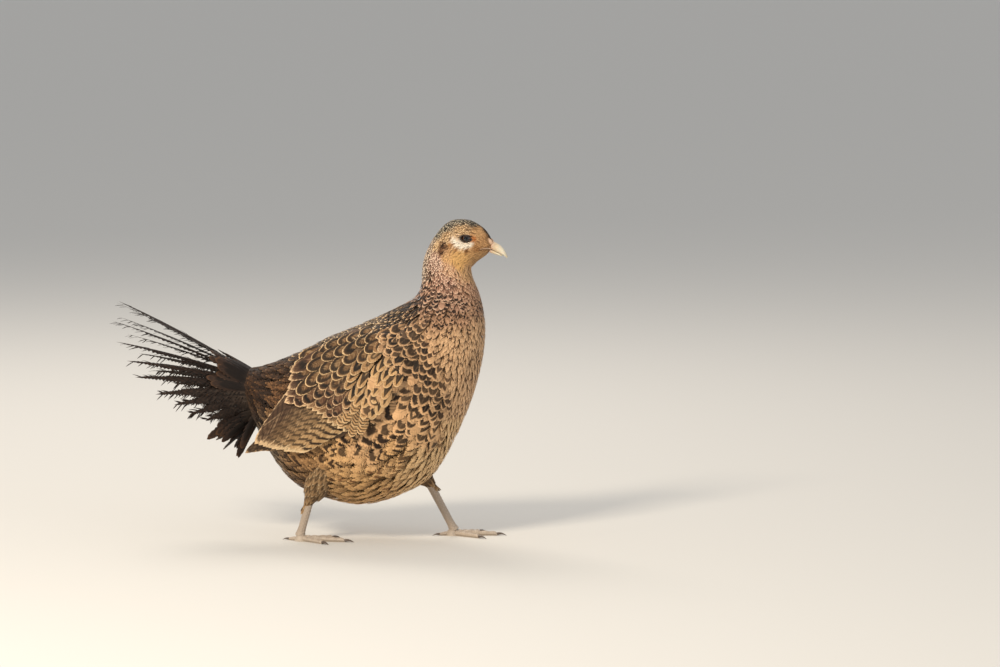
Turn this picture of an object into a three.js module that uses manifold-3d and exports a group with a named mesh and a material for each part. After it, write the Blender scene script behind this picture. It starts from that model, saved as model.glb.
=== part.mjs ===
// A common pheasant hen as a still, life-size model, caught in mid-stride with her tail cocked.
// Millimetres. +X runs from tail to bill, +Y is her left side, +Z is up, and the floor is at Z 0.
import * as THREE from "three";
import { mergeVertices } from "three/addons/utils/BufferGeometryUtils.js";
import Module from "manifold-3d";

const wasm = await Module();
wasm.setup();

// Driving dimensions.
const GAP = 0.3; // left between pieces that touch
const VANE = 0.5; // how thick a feather's vane is
const SIDES = [["left", 1], ["right", -1]];

// The trunk from the tail's root to the bill's root, as hoops that each stand in a plane across it.
// Each row: back X and Z, belly X and Z, half width, and how far below the middle it is widest.
const TRUNK = [
  [-117, 153, -113, 114, 14, 0.05],
  [-97, 158, -98, 83, 27, 0.1],
  [-70, 169, -74, 52, 39, 0.16],
  [-40, 184, -42, 37, 48, 0.2],
  [-11, 196, -8, 32, 52, 0.2],
  [13, 207, 27, 42, 54, 0.16],
  [28, 215, 57, 63, 53, 0.1],
  [37, 220.5, 83, 113, 48, 0.03],
  [42, 226, 97.5, 158, 40, 0],
  [45, 234, 101.5, 194, 31, 0],
  [45.5, 244, 97.5, 221, 24.5, 0],
  [47, 255, 92, 239, 20.5, 0],
  [51, 266, 90, 248.5, 18.5, 0],
  [58, 279, 92, 251, 18, 0.06],
  [70, 290.5, 96, 254, 17.3, 0.1],
  [83, 293.5, 100, 256.5, 15.8, 0.1],
  [95, 290.5, 103.5, 259, 12.8, 0.1],
  [104.5, 285.5, 106.5, 261.5, 9, 0.05],
  [111.5, 273.5, 108.5, 264, 5, 0],
];
const FULLNESS = 0.9; // under 1 squares the hoops off a little
const RUMP_END = 0;
const TORSO_FROM = 1;
const NECK_FROM = 9.4;
const HEAD_FROM = 12.2;
const BILL_FROM = 18;

const EYE = { x: 87, z: 276, radius: 5.6, shows: 1.9 };
const LIDS = { long: 5.1, tall: 4.6, thick: 0.9, sunk: 0.15 };
// Soft swellings and hollows on each side of the head: X, Z, reach, and height outwards.
const FACE = [
  [87, 276, 6.5, -1.3],
  [85, 284.5, 6, 1],
  [70, 268, 9, 1.2],
  [97, 272, 5, -0.8],
];

// A steady stream of small variations between -1 and 1, the same on every run.
let seed = 11;
function vary() {
  seed = (seed * 48271) % 2147483647;
  return (2 * seed) / 2147483647 - 1;
}

const clamp = (v, low, high) => Math.min(high, Math.max(low, v));
const radians = THREE.MathUtils.degToRad;
const point = (x, y, z) => new THREE.Vector3(x, y, z);

// A smooth curve through the rows, read at row number s.
function smooth(rows, s) {
  const i = clamp(Math.floor(s), 0, rows.length - 2);
  const t = s - i;
  const row = (k) => rows[clamp(k, 0, rows.length - 1)];
  return rows[0].map((_, c) => {
    const [a, b, d, e] = [-1, 0, 1, 2].map((k) => row(i + k)[c]);
    return b + 0.5 * t * (d - a + t * (2 * a - 5 * b + 4 * d - e + t * (3 * (b - d) + e - a)));
  });
}

function hoopAt(s, grow) {
  const [bx, bz, fx, fz, half, low] = smooth(TRUNK, s);
  const up = new THREE.Vector2(bx - fx, bz - fz);
  const tall = up.length() / 2;
  up.normalize();
  return { x: (bx + fx) / 2, z: (bz + fz) / 2, up, tall: tall + grow, half: half + grow, low };
}

// A point of the trunk's surface. The angle runs from the back, over the left side, to the belly.
function trunkPoint(s, angle, grow = 0) {
  const hoop = hoopAt(s, grow);
  const across = Math.sin(angle);
  const rise = hoop.tall * (Math.cos(angle) - hoop.low * across * across);
  const x = hoop.x + hoop.up.x * rise;
  const z = hoop.z + hoop.up.y * rise;
  const side = Math.sign(across);
  let y = hoop.half * Math.abs(across) ** FULLNESS;
  for (const [fx, fz, reach, height] of FACE) {
    const far = ((x - fx) ** 2 + (z - fz) ** 2) / reach ** 2;
    y += height * Math.exp(-far) * Math.min(1, y / 6);
  }
  return point(x, side * y, z);
}

// How far the trunk's surface stands out from the middle plane, seen from the side at X and Z.
function trunkSide(x, z) {
  let [low, high] = [0, TRUNK.length - 1];
  for (let step = 0; step < 30; step++) {
    const s = (low + high) / 2;
    const [bx, bz, fx, fz] = smooth(TRUNK, s);
    const ahead = (x - bx) * (bz - fz) - (z - bz) * (bx - fx) > 0;
    [low, high] = ahead ? [s, high] : [low, s];
  }
  const hoop = hoopAt(low, 0);
  const v = clamp(((x - hoop.x) * hoop.up.x + (z - hoop.z) * hoop.up.y) / hoop.tall, -1, 1);
  const k = hoop.low;
  const c = k > 0.001 ? (Math.sqrt(1 + 4 * k * (k + v)) - 1) / (2 * k) : v;
  return hoop.half * Math.sqrt(Math.max(0, 1 - c * c)) ** FULLNESS;
}

// Solids from faces.
function geometryOf(points, faces) {
  const g = new THREE.BufferGeometry();
  g.setAttribute("position", new THREE.Float32BufferAttribute(points.flatMap((p) => [p.x, p.y, p.z]), 3));
  g.setIndex(faces.flat());
  return g;
}

function solidOf(geometry) {
  const g = geometry.clone();
  for (const name of Object.keys(g.attributes)) if (name !== "position") g.deleteAttribute(name);
  const merged = mergeVertices(g, 1e-4);
  const make = (triVerts) =>
    new wasm.Manifold(
      new wasm.Mesh({ numProp: 3, vertProperties: merged.attributes.position.array, triVerts }),
    );
  const made = make(new Uint32Array(merged.index.array));
  return made.volume() > 0 ? made : make(new Uint32Array(merged.index.array).reverse());
}

// A tube through hoops of points, closed by a flat fan at each end.
function tube(hoops) {
  const n = hoops[0].length;
  const points = hoops.flat();
  const faces = [];
  for (let i = 0; i + 1 < hoops.length; i++)
    for (let j = 0; j < n; j++) {
      const [a, b] = [i * n + j, i * n + ((j + 1) % n)];
      faces.push([a, b, b + n], [a, b + n, a + n]);
    }
  [0, hoops.length - 1].forEach((i, end) => {
    const middle = hoops[i].reduce((sum, p) => sum.add(p), point(0, 0, 0)).divideScalar(n);
    points.push(middle);
    for (let j = 0; j < n; j++) {
      const [a, b] = [i * n + j, i * n + ((j + 1) % n)];
      faces.push(end ? [points.length - 1, a, b] : [points.length - 1, b, a]);
    }
  });
  return solidOf(geometryOf(points, faces));
}

// A slab between two grids of points that are split into triangles alike.
function slab(top, bottom) {
  const [rows, columns] = [top.length, top[0].length];
  const under = rows * columns;
  const at = (i, j) => i * columns + j;
  const faces = [];
  const wall = (a, b) => faces.push([a, b + under, b], [a, a + under, b + under]);
  for (let i = 0; i + 1 < rows; i++)
    for (let j = 0; j + 1 < columns; j++) {
      const [a, b, c, d] = [at(i, j), at(i, j + 1), at(i + 1, j + 1), at(i + 1, j)];
      faces.push([a, b, c], [a, c, d]);
      faces.push([a + under, c + under, b + under], [a + under, d + under, c + under]);
    }
  for (let j = 0; j + 1 < columns; j++) {
    wall(at(0, j), at(0, j + 1));
    wall(at(rows - 1, j + 1), at(rows - 1, j));
  }
  for (let i = 0; i + 1 < rows; i++) {
    wall(at(i + 1, 0), at(i, 0));
    wall(at(i, columns - 1), at(i + 1, columns - 1));
  }
  return solidOf(geometryOf([...top.flat(), ...bottom.flat()], faces));
}

// Joins pieces into one closed body and keeps its largest part.
function fuse(pieces) {
  const parts = wasm.Manifold.union(pieces).decompose();
  return parts.reduce((most, p) => (p.volume() > most.volume() ? p : most));
}

// A stretch of the trunk between two hoops, cut back at each flat end.
function trunkLength(from, to, steps, around, grow = 0, cut = GAP / 2) {
  const hoops = [];
  for (let i = 0; i <= steps; i++) {
    const s = from + ((to - from) * i) / steps;
    const { up } = hoopAt(s, grow);
    const back = i === 0 ? cut : i === steps ? -cut : 0;
    const ahead = point(up.y, 0, -up.x).multiplyScalar(back);
    const hoop = [];
    for (let j = 0; j < around; j++) hoop.push(trunkPoint(s, (2 * Math.PI * j) / around, grow).add(ahead));
    hoops.push(hoop);
  }
  return tube(hoops);
}

// A round limb through points with a radius at each, closed at both ends.
function limb(points, radii, around) {
  const hoops = points.map((p, i) => {
    const [before, after] = [points[Math.max(i - 1, 0)], points[Math.min(i + 1, points.length - 1)]];
    const ahead = after.clone().sub(before).normalize();
    const side = point(0, 1, 0).addScaledVector(ahead, -ahead.y).normalize();
    const over = ahead.clone().cross(side);
    return Array.from({ length: around }, (_, j) => {
      const turn = (2 * Math.PI * j) / around;
      return p
        .clone()
        .addScaledVector(side, radii[i] * Math.cos(turn))
        .addScaledVector(over, radii[i] * Math.sin(turn));
    });
  });
  return tube(hoops);
}

// One feather's vane. place() takes a point along and across the feather and above its sheet.
const ROUND_TIP = [[0, 0.5], [0.3, 0.85], [0.6, 0.95], [0.88, 0.8], [1, 0.25]];
const POINTED_TIP = [[0, 0.35], [0.3, 0.95], [0.6, 0.95], [0.86, 0.5], [1, 0.1]];
function vane({ length, width, outline, place, camber = 0, columns = [-1, 1] }) {
  const grid = (lift) =>
    outline.map(([t, share]) =>
      columns.map((c) => {
        const crown = camber * (1 - c * c) * share;
        return place(t * length, (c * share * width) / 2, lift + crown, t);
      }),
    );
  return slab(grid(VANE / 2), grid(-VANE / 2));
}

// The head, with sunk eyes between lids and the corner of the mouth.
function eyeCentre(side) {
  const face = trunkSide(EYE.x, EYE.z) + FACE[0][3];
  return point(EYE.x, side * (face + EYE.shows - EYE.radius), EYE.z);
}

function lidRing(side) {
  const centre = eyeCentre(side);
  const hoops = [];
  const steps = 14;
  for (let i = 0; i < steps; i++) {
    const turn = (2 * Math.PI * i) / steps;
    const out = point(Math.cos(turn), 0, Math.sin(turn));
    const middle = point(EYE.x + LIDS.long * out.x, 0, EYE.z + LIDS.tall * out.z);
    middle.y = side * (trunkSide(middle.x, middle.z) + FACE[0][3] * 0.6 - LIDS.sunk);
    hoops.push(
      Array.from({ length: 5 }, (_, j) => {
        const around = (2 * Math.PI * j) / 5;
        return middle
          .clone()
          .addScaledVector(out, LIDS.thick * Math.cos(around))
          .add(point(0, side * LIDS.thick * Math.sin(around), 0));
      }),
    );
  }
  // The last hoop joins the first, so the ring is made in two halves that share their end hoops.
  const half = steps / 2;
  const first = hoops.slice(0, half + 2);
  const second = [...hoops.slice(half), hoops[0], hoops[1]];
  return wasm.Manifold.union([tube(first), tube(second)]).translate([centre.x - EYE.x, 0, 0]);
}

function ball(centre, radius, around = 16, down = 10) {
  return solidOf(new THREE.SphereGeometry(radius, around, down).translate(centre.x, centre.y, centre.z));
}

const MOUTH = { cornerX: 100, cornerZ: 267, frontX: 109, frontZ: 266.6, deep: 1.1, open: 0.5 };
function mouthCut(side) {
  const plate = (x, z) => {
    const skin = trunkSide(x, z);
    const [inner, outer] = [skin - MOUTH.deep, skin + 4];
    const high = MOUTH.open / 2;
    return [[inner, -high], [outer, -high], [outer, high], [inner, high]].map(([y, h]) =>
      point(x, side * y, z + h),
    );
  };
  return tube([plate(MOUTH.cornerX, MOUTH.cornerZ), plate(MOUTH.frontX, MOUTH.frontZ)]);
}

function head() {
  let made = trunkLength(HEAD_FROM, BILL_FROM, 15, 26);
  made = fuse([made, ...SIDES.map(([, side]) => lidRing(side))]);
  for (const [, side] of SIDES)
    made = made.subtract(ball(eyeCentre(side), EYE.radius + GAP)).subtract(mouthCut(side));
  return fuse([made]);
}

// The bill: rows of ridge X and Z, cutting edge X and Z, and half width.
const UPPER_BILL = [
  [111.9, 273, 109.6, 267.1, 4.9],
  [115.6, 271.9, 114.3, 265.3, 4.4],
  [119.6, 269, 118.2, 263.2, 3.5],
  [122.7, 265, 121.4, 261.5, 2.3],
  [124.8, 261.3, 123.9, 260, 0.8],
];
const LOWER_BILL = [
  [109.4, 266.7, 109, 263.9, 4.4],
  [113.8, 265, 113.2, 262.6, 3.7],
  [117.4, 263.2, 116.8, 261.3, 2.6],
  [119.8, 261.9, 119.6, 261, 1.3],
];
const NOSTRIL = { x: 113.4, y: 4.3, z: 269.9, long: 1.7, tall: 0.7, deep: 1.2, slant: 25 };

// Half a bill in section is a bow: flat along the cutting edge, round over the ridge.
function billHoops(rows, steps, flip) {
  const around = 12;
  const hoops = [];
  for (let i = 0; i <= steps; i++) {
    const [rx, rz, ex, ez, half] = smooth(rows, ((rows.length - 1) * i) / steps);
    hoops.push(
      Array.from({ length: around }, (_, j) => {
        const turn = (2 * Math.PI * (j + 0.5)) / around;
        const rise = clamp(0.5 + 0.62 * Math.cos(turn) * flip, 0, 1.12) / 1.12;
        const share = flip > 0 ? rise : 1 - rise;
        const from = flip > 0 ? [ex, ez] : [rx, rz];
        const to = flip > 0 ? [rx, rz] : [ex, ez];
        const up = flip > 0 ? share : 1 - share;
        const [x, z] = [from[0] + (to[0] - from[0]) * up, from[1] + (to[1] - from[1]) * up];
        return point(x, half * Math.sin(turn), z);
      }),
    );
  }
  return hoops;
}

function upperBill() {
  let made = tube(billHoops(UPPER_BILL, 8, 1));
  for (const [, side] of SIDES) {
    const pit = new THREE.SphereGeometry(1, 8, 6).scale(NOSTRIL.long, NOSTRIL.deep, NOSTRIL.tall);
    pit.rotateY(radians(NOSTRIL.slant)).translate(NOSTRIL.x, side * NOSTRIL.y, NOSTRIL.z);
    made = made.subtract(solidOf(pit));
  }
  return fuse([made]);
}

function lowerBill() {
  return tube(billHoops(LOWER_BILL, 6, -1));
}

// The folded wing lies on a sheet over the flank: a runs from wrist to tip, b across towards the back.
const WING = { wristX: 38, wristZ: 178, slope: 32.1, length: 188 };
// The wing's outline: a, lower b and upper b.
const WING_EDGE = [
  [-8, 4, 22],
  [12, -18, 31],
  [38, -30, 37],
  [66, -37, 42],
  [92, -39, 43],
  [114, -31, 32],
  [132, -18, 16],
];
// Where the sheet leaves the body it runs on nearly straight, in towards the tail.
const FREE_SHEET = { y: 51, z: 116, fromX: -20, taper: 0.24, round: 165, blend: 3.5 };

function sheetSide(x, z) {
  const { y, z: middle, fromX, taper, round, blend } = FREE_SHEET;
  const free = y + taper * Math.min(0, x - fromX) - (z - middle) ** 2 / round;
  const body = trunkSide(x, z) + 1.3;
  return blend * Math.log(Math.exp(free / blend) + Math.exp(body / blend));
}

function onWing(side, a, b, h) {
  const turn = radians(WING.slope);
  const at = (da, db) => {
    const x = WING.wristX - (a + da) * Math.cos(turn) - (b + db) * Math.sin(turn);
    const z = WING.wristZ - (a + da) * Math.sin(turn) + (b + db) * Math.cos(turn);
    return point(x, sheetSide(x, z), z);
  };
  const here = at(0, 0);
  const out = at(1, 0).sub(at(-1, 0)).cross(at(0, 1).sub(at(0, -1))).normalize();
  if (out.y < 0) out.negate();
  here.addScaledVector(out, h);
  here.y *= side;
  return here;
}

// The flesh and down under the feathers, thickest towards the wrist.
const WING_CORE = { thick: 5, thin: 0.3, fall: 2.2, deep: 9, root: 0.45 };
function coreHeight(a) {
  const share = clamp(a / WING_EDGE.at(-1)[0], 0, 1);
  const fullness = (1 - share) ** WING_CORE.fall * clamp((a + 22) / 24, 0, 1);
  return WING_CORE.thin + (WING_CORE.thick - WING_CORE.thin) * fullness;
}

function wingCore(side) {
  const [along, across] = [9, 5];
  const grid = (height) =>
    Array.from({ length: along + 1 }, (_, i) => {
      const [a, low, high] = smooth(WING_EDGE, ((WING_EDGE.length - 1) * i) / along);
      return Array.from({ length: across + 1 }, (_, j) => {
        const v = j / across;
        const rim = 1 - 0.75 * Math.abs(2 * v - 1) ** 3;
        return onWing(side, a, low + (high - low) * v, height(a, rim));
      });
    });
  const top = grid((a, rim) => coreHeight(a) * rim);
  const deep = (a) => 0.8 + WING_CORE.deep * clamp(1.25 - a / 100, 0, 1);
  return slab(top, grid((a, rim) => (coreHeight(a) - deep(a)) * rim));
}

// Tiers of wing feathers, from the lowest layer up. Each runs from its first feather, at the
// wing's lower edge, to its last one: [a, b] of root and tip, width, and height above the sheet.
const TIERS = [
  {
    name: "primaries",
    count: 5,
    width: 12.5,
    height: 0.7,
    from: [[64, -24], [147, -19]],
    to: [[96, 1], [186, 1]],
  },
  {
    name: "secondaries",
    count: 6,
    width: 17,
    height: 3,
    from: [[44, -27], [117, -36]],
    to: [[56, 25], [148, 16]],
  },
  {
    name: "tertials",
    count: 3,
    width: 19,
    height: 5.4,
    from: [[42, 16], [126, 23]],
    to: [[32, 32], [110, 39]],
  },
  {
    name: "greater_coverts",
    count: 6,
    width: 16,
    height: 5.2,
    from: [[22, -24], [82, -37]],
    to: [[28, 17], [98, 15]],
  },
  {
    name: "median_coverts",
    count: 5,
    width: 15,
    height: 7,
    from: [[6, -16], [54, -29]],
    to: [[8, 14], [68, 13]],
  },
  {
    name: "lesser_coverts",
    count: 4,
    width: 14,
    height: 8.4,
    from: [[-6, -4], [31, -22]],
    to: [[-8, 15], [40, 22]],
  },
  {
    name: "scapulars",
    count: 5,
    width: 16,
    height: 9,
    from: [[-8, 17], [38, 27]],
    to: [[58, 31], [108, 38]],
  },
];
const FLIGHT_TIERS = ["primaries", "secondaries", "tertials"];
const COVERT_TIP = [[0, 0.6], [0.45, 1], [0.84, 0.82], [1, 0.34]];
const TILT = 1.7; // how much higher a feather's lower edge lies than its upper edge

function wing(side) {
  const pieces = [wingCore(side)];
  for (const tier of TIERS)
    for (let i = 0; i < tier.count; i++) {
      const share = i / (tier.count - 1);
      const mix = (k, c) => tier.from[k][c] + (tier.to[k][c] - tier.from[k][c]) * share + 0.8 * vary();
      const root = new THREE.Vector2(mix(0, 0), mix(0, 1));
      const tip = new THREE.Vector2(mix(1, 0), mix(1, 1));
      const ahead = tip.clone().sub(root);
      const length = ahead.length();
      ahead.normalize();
      const rooted = WING_CORE.root * coreHeight(root.x);
      const place = (along, across, lift, t) => {
        const a = root.x + ahead.x * along - ahead.y * across;
        const b = root.y + ahead.y * along + ahead.x * across;
        const height = rooted + (tier.height - rooted) * t;
        return onWing(side, a, b, height + lift - (TILT * across) / tier.width);
      };
      const outline = FLIGHT_TIERS.includes(tier.name) ? ROUND_TIP : COVERT_TIP;
      pieces.push(vane({ length, width: tier.width, outline, place }));
    }
  return fuse(pieces);
}

// The tail: nine pairs of feathers on a steep roof, the middle pair highest and longest.
const TAIL = {
  pairs: 9,
  rootX: -108,
  rootZ: 132,
  roofWide: 9,
  roofTall: 15,
  lift: 31.5,
  drop: 5.6,
  spread: 3.1,
  lengths: [146, 140, 130, 120, 108, 90, 74, 62, 50],
  width: 12,
  droop: 9,
  overlap: 20,
};
// Coverts over and under the tail's root: count, turn around the root, lift, length, and width.
const TAIL_COVERTS = [
  { count: 4, turns: [-42, 42], lifts: [30, 30], length: 46, width: 14 },
  { count: 3, turns: [66, 104], lifts: [12, -10], length: 44, width: 13 },
  { count: 3, turns: [-104, -66], lifts: [-10, 12], length: 44, width: 13 },
  { count: 5, turns: [128, 232], lifts: [-24, -24], length: 50, width: 13 },
];

// A sheet for one tail feather that starts at root, heads out by lift and spread, and droops.
function tailSheet(root, lift, spread, roll, droop, length) {
  return (along, across, height) => {
    const bend = radians(lift - (droop * along) / length / 2);
    const sideways = radians(spread);
    const flat = Math.cos(bend);
    const ahead = point(-flat * Math.cos(sideways), flat * Math.sin(sideways), Math.sin(bend));
    const level = point(0, 1, 0).addScaledVector(ahead, -ahead.y).normalize();
    const over = level.clone().cross(ahead).normalize();
    if (over.z < 0) over.negate();
    const turned = (v) => v.clone().applyAxisAngle(ahead, radians(roll));
    return root
      .clone()
      .addScaledVector(ahead, along)
      .addScaledVector(turned(level), across)
      .addScaledVector(turned(over), height);
  };
}

function tail() {
  const pieces = [trunkLength(RUMP_END, TORSO_FROM, 5, 18)];
  for (const [, side] of SIDES)
    for (let i = 0; i < TAIL.pairs; i++) {
      const share = i / (TAIL.pairs - 1);
      const around = radians(8 + 112 * share);
      const root = point(
        TAIL.rootX - 2 + 3 * share,
        side * (1.6 + TAIL.roofWide * Math.sin(around)),
        TAIL.rootZ + TAIL.roofTall * Math.cos(around),
      );
      const length = TAIL.lengths[i] * (1 + 0.02 * vary());
      const roll = side * (THREE.MathUtils.radToDeg(around) - TAIL.overlap);
      const spread = side * (1.5 + TAIL.spread * i);
      const lift = TAIL.lift - TAIL.drop * i + 0.7 * vary();
      const place = tailSheet(root, lift, spread, roll, TAIL.droop, length);
      pieces.push(
        vane({ length, width: TAIL.width, outline: POINTED_TIP, place, columns: [-1, 0, 1], camber: 0.6 }),
      );
    }
  for (const row of TAIL_COVERTS)
    for (let i = 0; i < row.count; i++) {
      const mix = ([from, to]) => from + ((to - from) * i) / (row.count - 1);
      const turn = mix(row.turns);
      const hoop = hoopAt(0.45, 0);
      const root = point(
        hoop.x + 4,
        0.55 * hoop.half * Math.sin(radians(turn)),
        hoop.z + (hoop.tall - 5) * Math.cos(radians(turn)),
      );
      const spread = 16 * Math.sin(radians(turn));
      const length = row.length * (1 + 0.08 * vary());
      const place = tailSheet(root, mix(row.lifts), spread, turn, 6, length);
      pieces.push(vane({ length, width: row.width, outline: COVERT_TIP, place }));
    }
  return fuse(pieces);
}

// Legs: hock, foot joint and the way the toes point, for each side.
const LEGS = {
  left: { hip: [8, 26, 88], hock: [42, 26, 57], foot: [68, 27, 8], turn: 6, past: 9 },
  right: { hip: [-30, -27, 84], hock: [-49, -26, 58], foot: [-63, -27, 8], turn: -4, past: 21 },
};
const SHANK = { wide: 3.5, scutes: 9, step: 0.3, half_crease: 0.02, top: 0.25 };
// The feathered thigh's radii, from the hip down. It hangs past the hock, over the top of the shank.
const THIGH = [20, 19, 17, 13, 7.5];

function thighShape(leg, grow) {
  const [hip, hock, foot] = [leg.hip, leg.hock, leg.foot].map((at) => point(...at));
  const end = foot.sub(hock).normalize().multiplyScalar(leg.past + grow).add(hock);
  const points = THIGH.map((_, i) => hip.clone().lerp(end, i / (THIGH.length - 1)));
  return limb(points, THIGH.map((radius) => radius + grow), 14);
}

function shank(leg, above) {
  const [hock, foot] = [point(...leg.hock), point(...leg.foot)];
  const points = [];
  const radii = [];
  for (let i = 0; i <= SHANK.scutes; i++) {
    const t = i / SHANK.scutes;
    const thick = SHANK.wide * (1 + SHANK.top * (1 - t) ** 3);
    for (const at of [t - SHANK.half_crease, t + SHANK.half_crease])
      points.push(hock.clone().lerp(foot, clamp(at, 0, 1)));
    radii.push(thick - SHANK.step / 2, thick + SHANK.step / 2);
  }
  return fuse([limb(points, radii, 8).subtract(above)]);
}

// The room over the foot that the shank's flat lower end takes up.
function ankleSpace(leg) {
  const [hock, foot] = [point(...leg.hock), point(...leg.foot)];
  const ahead = foot.clone().sub(hock).normalize();
  return limb([foot.clone().addScaledVector(ahead, -20), foot.addScaledVector(ahead, GAP)], [9, 9], 10);
}

// Toes: heading from straight ahead, length without the claw, width, and where the toe starts.
const TOES = [
  { name: "middle", heading: 0, length: 38, wide: 6, root: 3 },
  { name: "inner", heading: -34, length: 27, wide: 5.4, root: 2 },
  { name: "outer", heading: 36, length: 29, wide: 5.4, root: 2 },
  { name: "hind", heading: 168, length: 9, wide: 4.4, root: 3 },
];
const TOE_PADS = { count: 5, crease: 0.9, swell: 1.06, half_crease: 0.03, taper: 0.32 };
const HEEL = { radius: 6, high: 5.5, taper: 0.28 };

// A toe's section stands on a flat sole at floor level.
const TOE_SECTION = [[-0.34, 0], [0.34, 0], [0.5, 0.38], [0.3, 0.88], [-0.3, 0.88], [-0.5, 0.38]];
function soleHoop(centre, heading, wide, high) {
  const out = point(-Math.sin(heading), Math.cos(heading), 0);
  return TOE_SECTION.map(([c, h]) => centre.clone().addScaledVector(out, c * wide).setZ(h * high));
}

function toePath(leg, side, toe, t) {
  const heading = radians(leg.turn - side * toe.heading);
  const start = point(leg.foot[0], leg.foot[1], 0);
  const ahead = point(Math.cos(heading), Math.sin(heading), 0);
  return { heading, ahead, centre: start.addScaledVector(ahead, toe.root + toe.length * t) };
}

// Each toe swells at its pads and is drawn in at the creases between them.
function toe(leg, side, shape) {
  const { count, crease, swell, half_crease, taper } = TOE_PADS;
  const stations = [[0, 1]];
  for (let i = 1; i < count; i++)
    stations.push([i / count - half_crease, crease], [i / count + half_crease, swell]);
  stations.push([1, 1]);
  return tube(
    stations.map(([t, pinch]) => {
      const { centre, heading } = toePath(leg, side, shape, t);
      const size = shape.wide * (1 - taper * t) * pinch;
      return soleHoop(centre, heading, size, size);
    }),
  );
}

function foot(leg, side, above) {
  const middle = point(leg.foot[0], leg.foot[1], 0);
  const heel = [0, 0.5, 1].map((t) => {
    const radius = HEEL.radius * (1 - HEEL.taper * t * t);
    return Array.from({ length: 12 }, (_, j) => {
      const turn = (2 * Math.PI * j) / 12;
      return middle.clone().add(point(radius * Math.cos(turn), radius * Math.sin(turn), HEEL.high * t));
    });
  });
  return fuse([fuse([tube(heel), ...TOES.map((shape) => toe(leg, side, shape))]).subtract(above)]);
}

const CLAW = { length: 9, wide: 3.1, high: 3, clear: 0.05, arch: 0.5, hind: 0.8 };
const CLAW_TAPER = [[0.04, 1], [0.35, 0.8], [0.7, 0.5], [1, 0.16]];
function claw(leg, side, shape) {
  const size = shape.name === "hind" ? CLAW.hind : 1;
  const { centre, heading, ahead } = toePath(leg, side, shape, 1);
  const hoops = CLAW_TAPER.map(([t, share]) => {
    const start = centre.clone().addScaledVector(ahead, GAP + CLAW.length * size * t);
    const lift = CLAW.clear + CLAW.arch * Math.sin(Math.PI * t);
    const hoop = soleHoop(start, heading, CLAW.wide * share * size, CLAW.high * share * size);
    return hoop.map((p) => p.setZ(p.z + lift));
  });
  return tube(hoops);
}

// Colours and finishes, from life.
const FINISH = {
  plumage: { color: "#b08d66", roughness: 0.85 },
  face: { color: "#c49a68", roughness: 0.8 },
  wing: { color: "#94724c", roughness: 0.8 },
  tail: { color: "#2c211b", roughness: 0.75 },
  horn: { color: "#d3c3a0", roughness: 0.4 },
  eye: { color: "#2a1710", roughness: 0.05 },
  scale: { color: "#9d9086", roughness: 0.55 },
  claw: { color: "#5b4c40", roughness: 0.4 },
};

const hen = new THREE.Group();
function add(name, solid, finish) {
  const { vertProperties, triVerts } = solid.getMesh();
  const g = new THREE.BufferGeometry();
  g.setAttribute("position", new THREE.BufferAttribute(new Float32Array(vertProperties), 3));
  g.setIndex(new THREE.BufferAttribute(new Uint32Array(triVerts), 1));
  g.computeVertexNormals();
  const mesh = new THREE.Mesh(g, new THREE.MeshStandardMaterial({ metalness: 0, ...FINISH[finish] }));
  mesh.name = name;
  hen.add(mesh);
}

// The room that the trunk takes up, which the wings and legs keep clear of.
const bodySpace = trunkLength(TORSO_FROM, NECK_FROM, 20, 26, GAP, -GAP);
const tailSpace = trunkLength(RUMP_END, TORSO_FROM, 5, 18, GAP, -GAP);
add("torso", trunkLength(TORSO_FROM, NECK_FROM, 20, 26), "plumage");
add("neck", trunkLength(NECK_FROM, HEAD_FROM, 7, 24), "plumage");
add("head", head(), "face");
add("bill_upper", upperBill(), "horn");
add("bill_lower", lowerBill(), "horn");
add("tail", tail(), "tail");
for (const [name, side] of SIDES) {
  const leg = LEGS[name];
  add("eye_" + name, ball(eyeCentre(side), EYE.radius), "eye");
  add("wing_" + name, fuse([wing(side).subtract(bodySpace).subtract(tailSpace)]), "wing");
  add("thigh_" + name, fuse([thighShape(leg, 0).subtract(bodySpace)]), "plumage");
  add("shank_" + name, shank(leg, thighShape(leg, GAP)), "scale");
  add("foot_" + name, foot(leg, side, ankleSpace(leg)), "scale");
  for (const shape of TOES) add("claw_" + name + "_" + shape.name, claw(leg, side, shape), "claw");
}

// The origin is the middle of the floor under the whole bird.
hen.updateMatrixWorld(true);
const reach = new THREE.Box3().setFromObject(hen, true);
hen.position.set(-(reach.min.x + reach.max.x) / 2, -(reach.min.y + reach.max.y) / 2, -reach.min.z);

export default hen;
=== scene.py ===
"""A common pheasant hen as a still, life-size model, caught in mid-stride with her tail cocked.

Lengths are in millimetres of the bird until a piece is made, and then in metres of the frame.
"""

import math

import bmesh
import bpy
import numpy as np
from mathutils import Matrix, Vector
from mathutils.kdtree import KDTree


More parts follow.
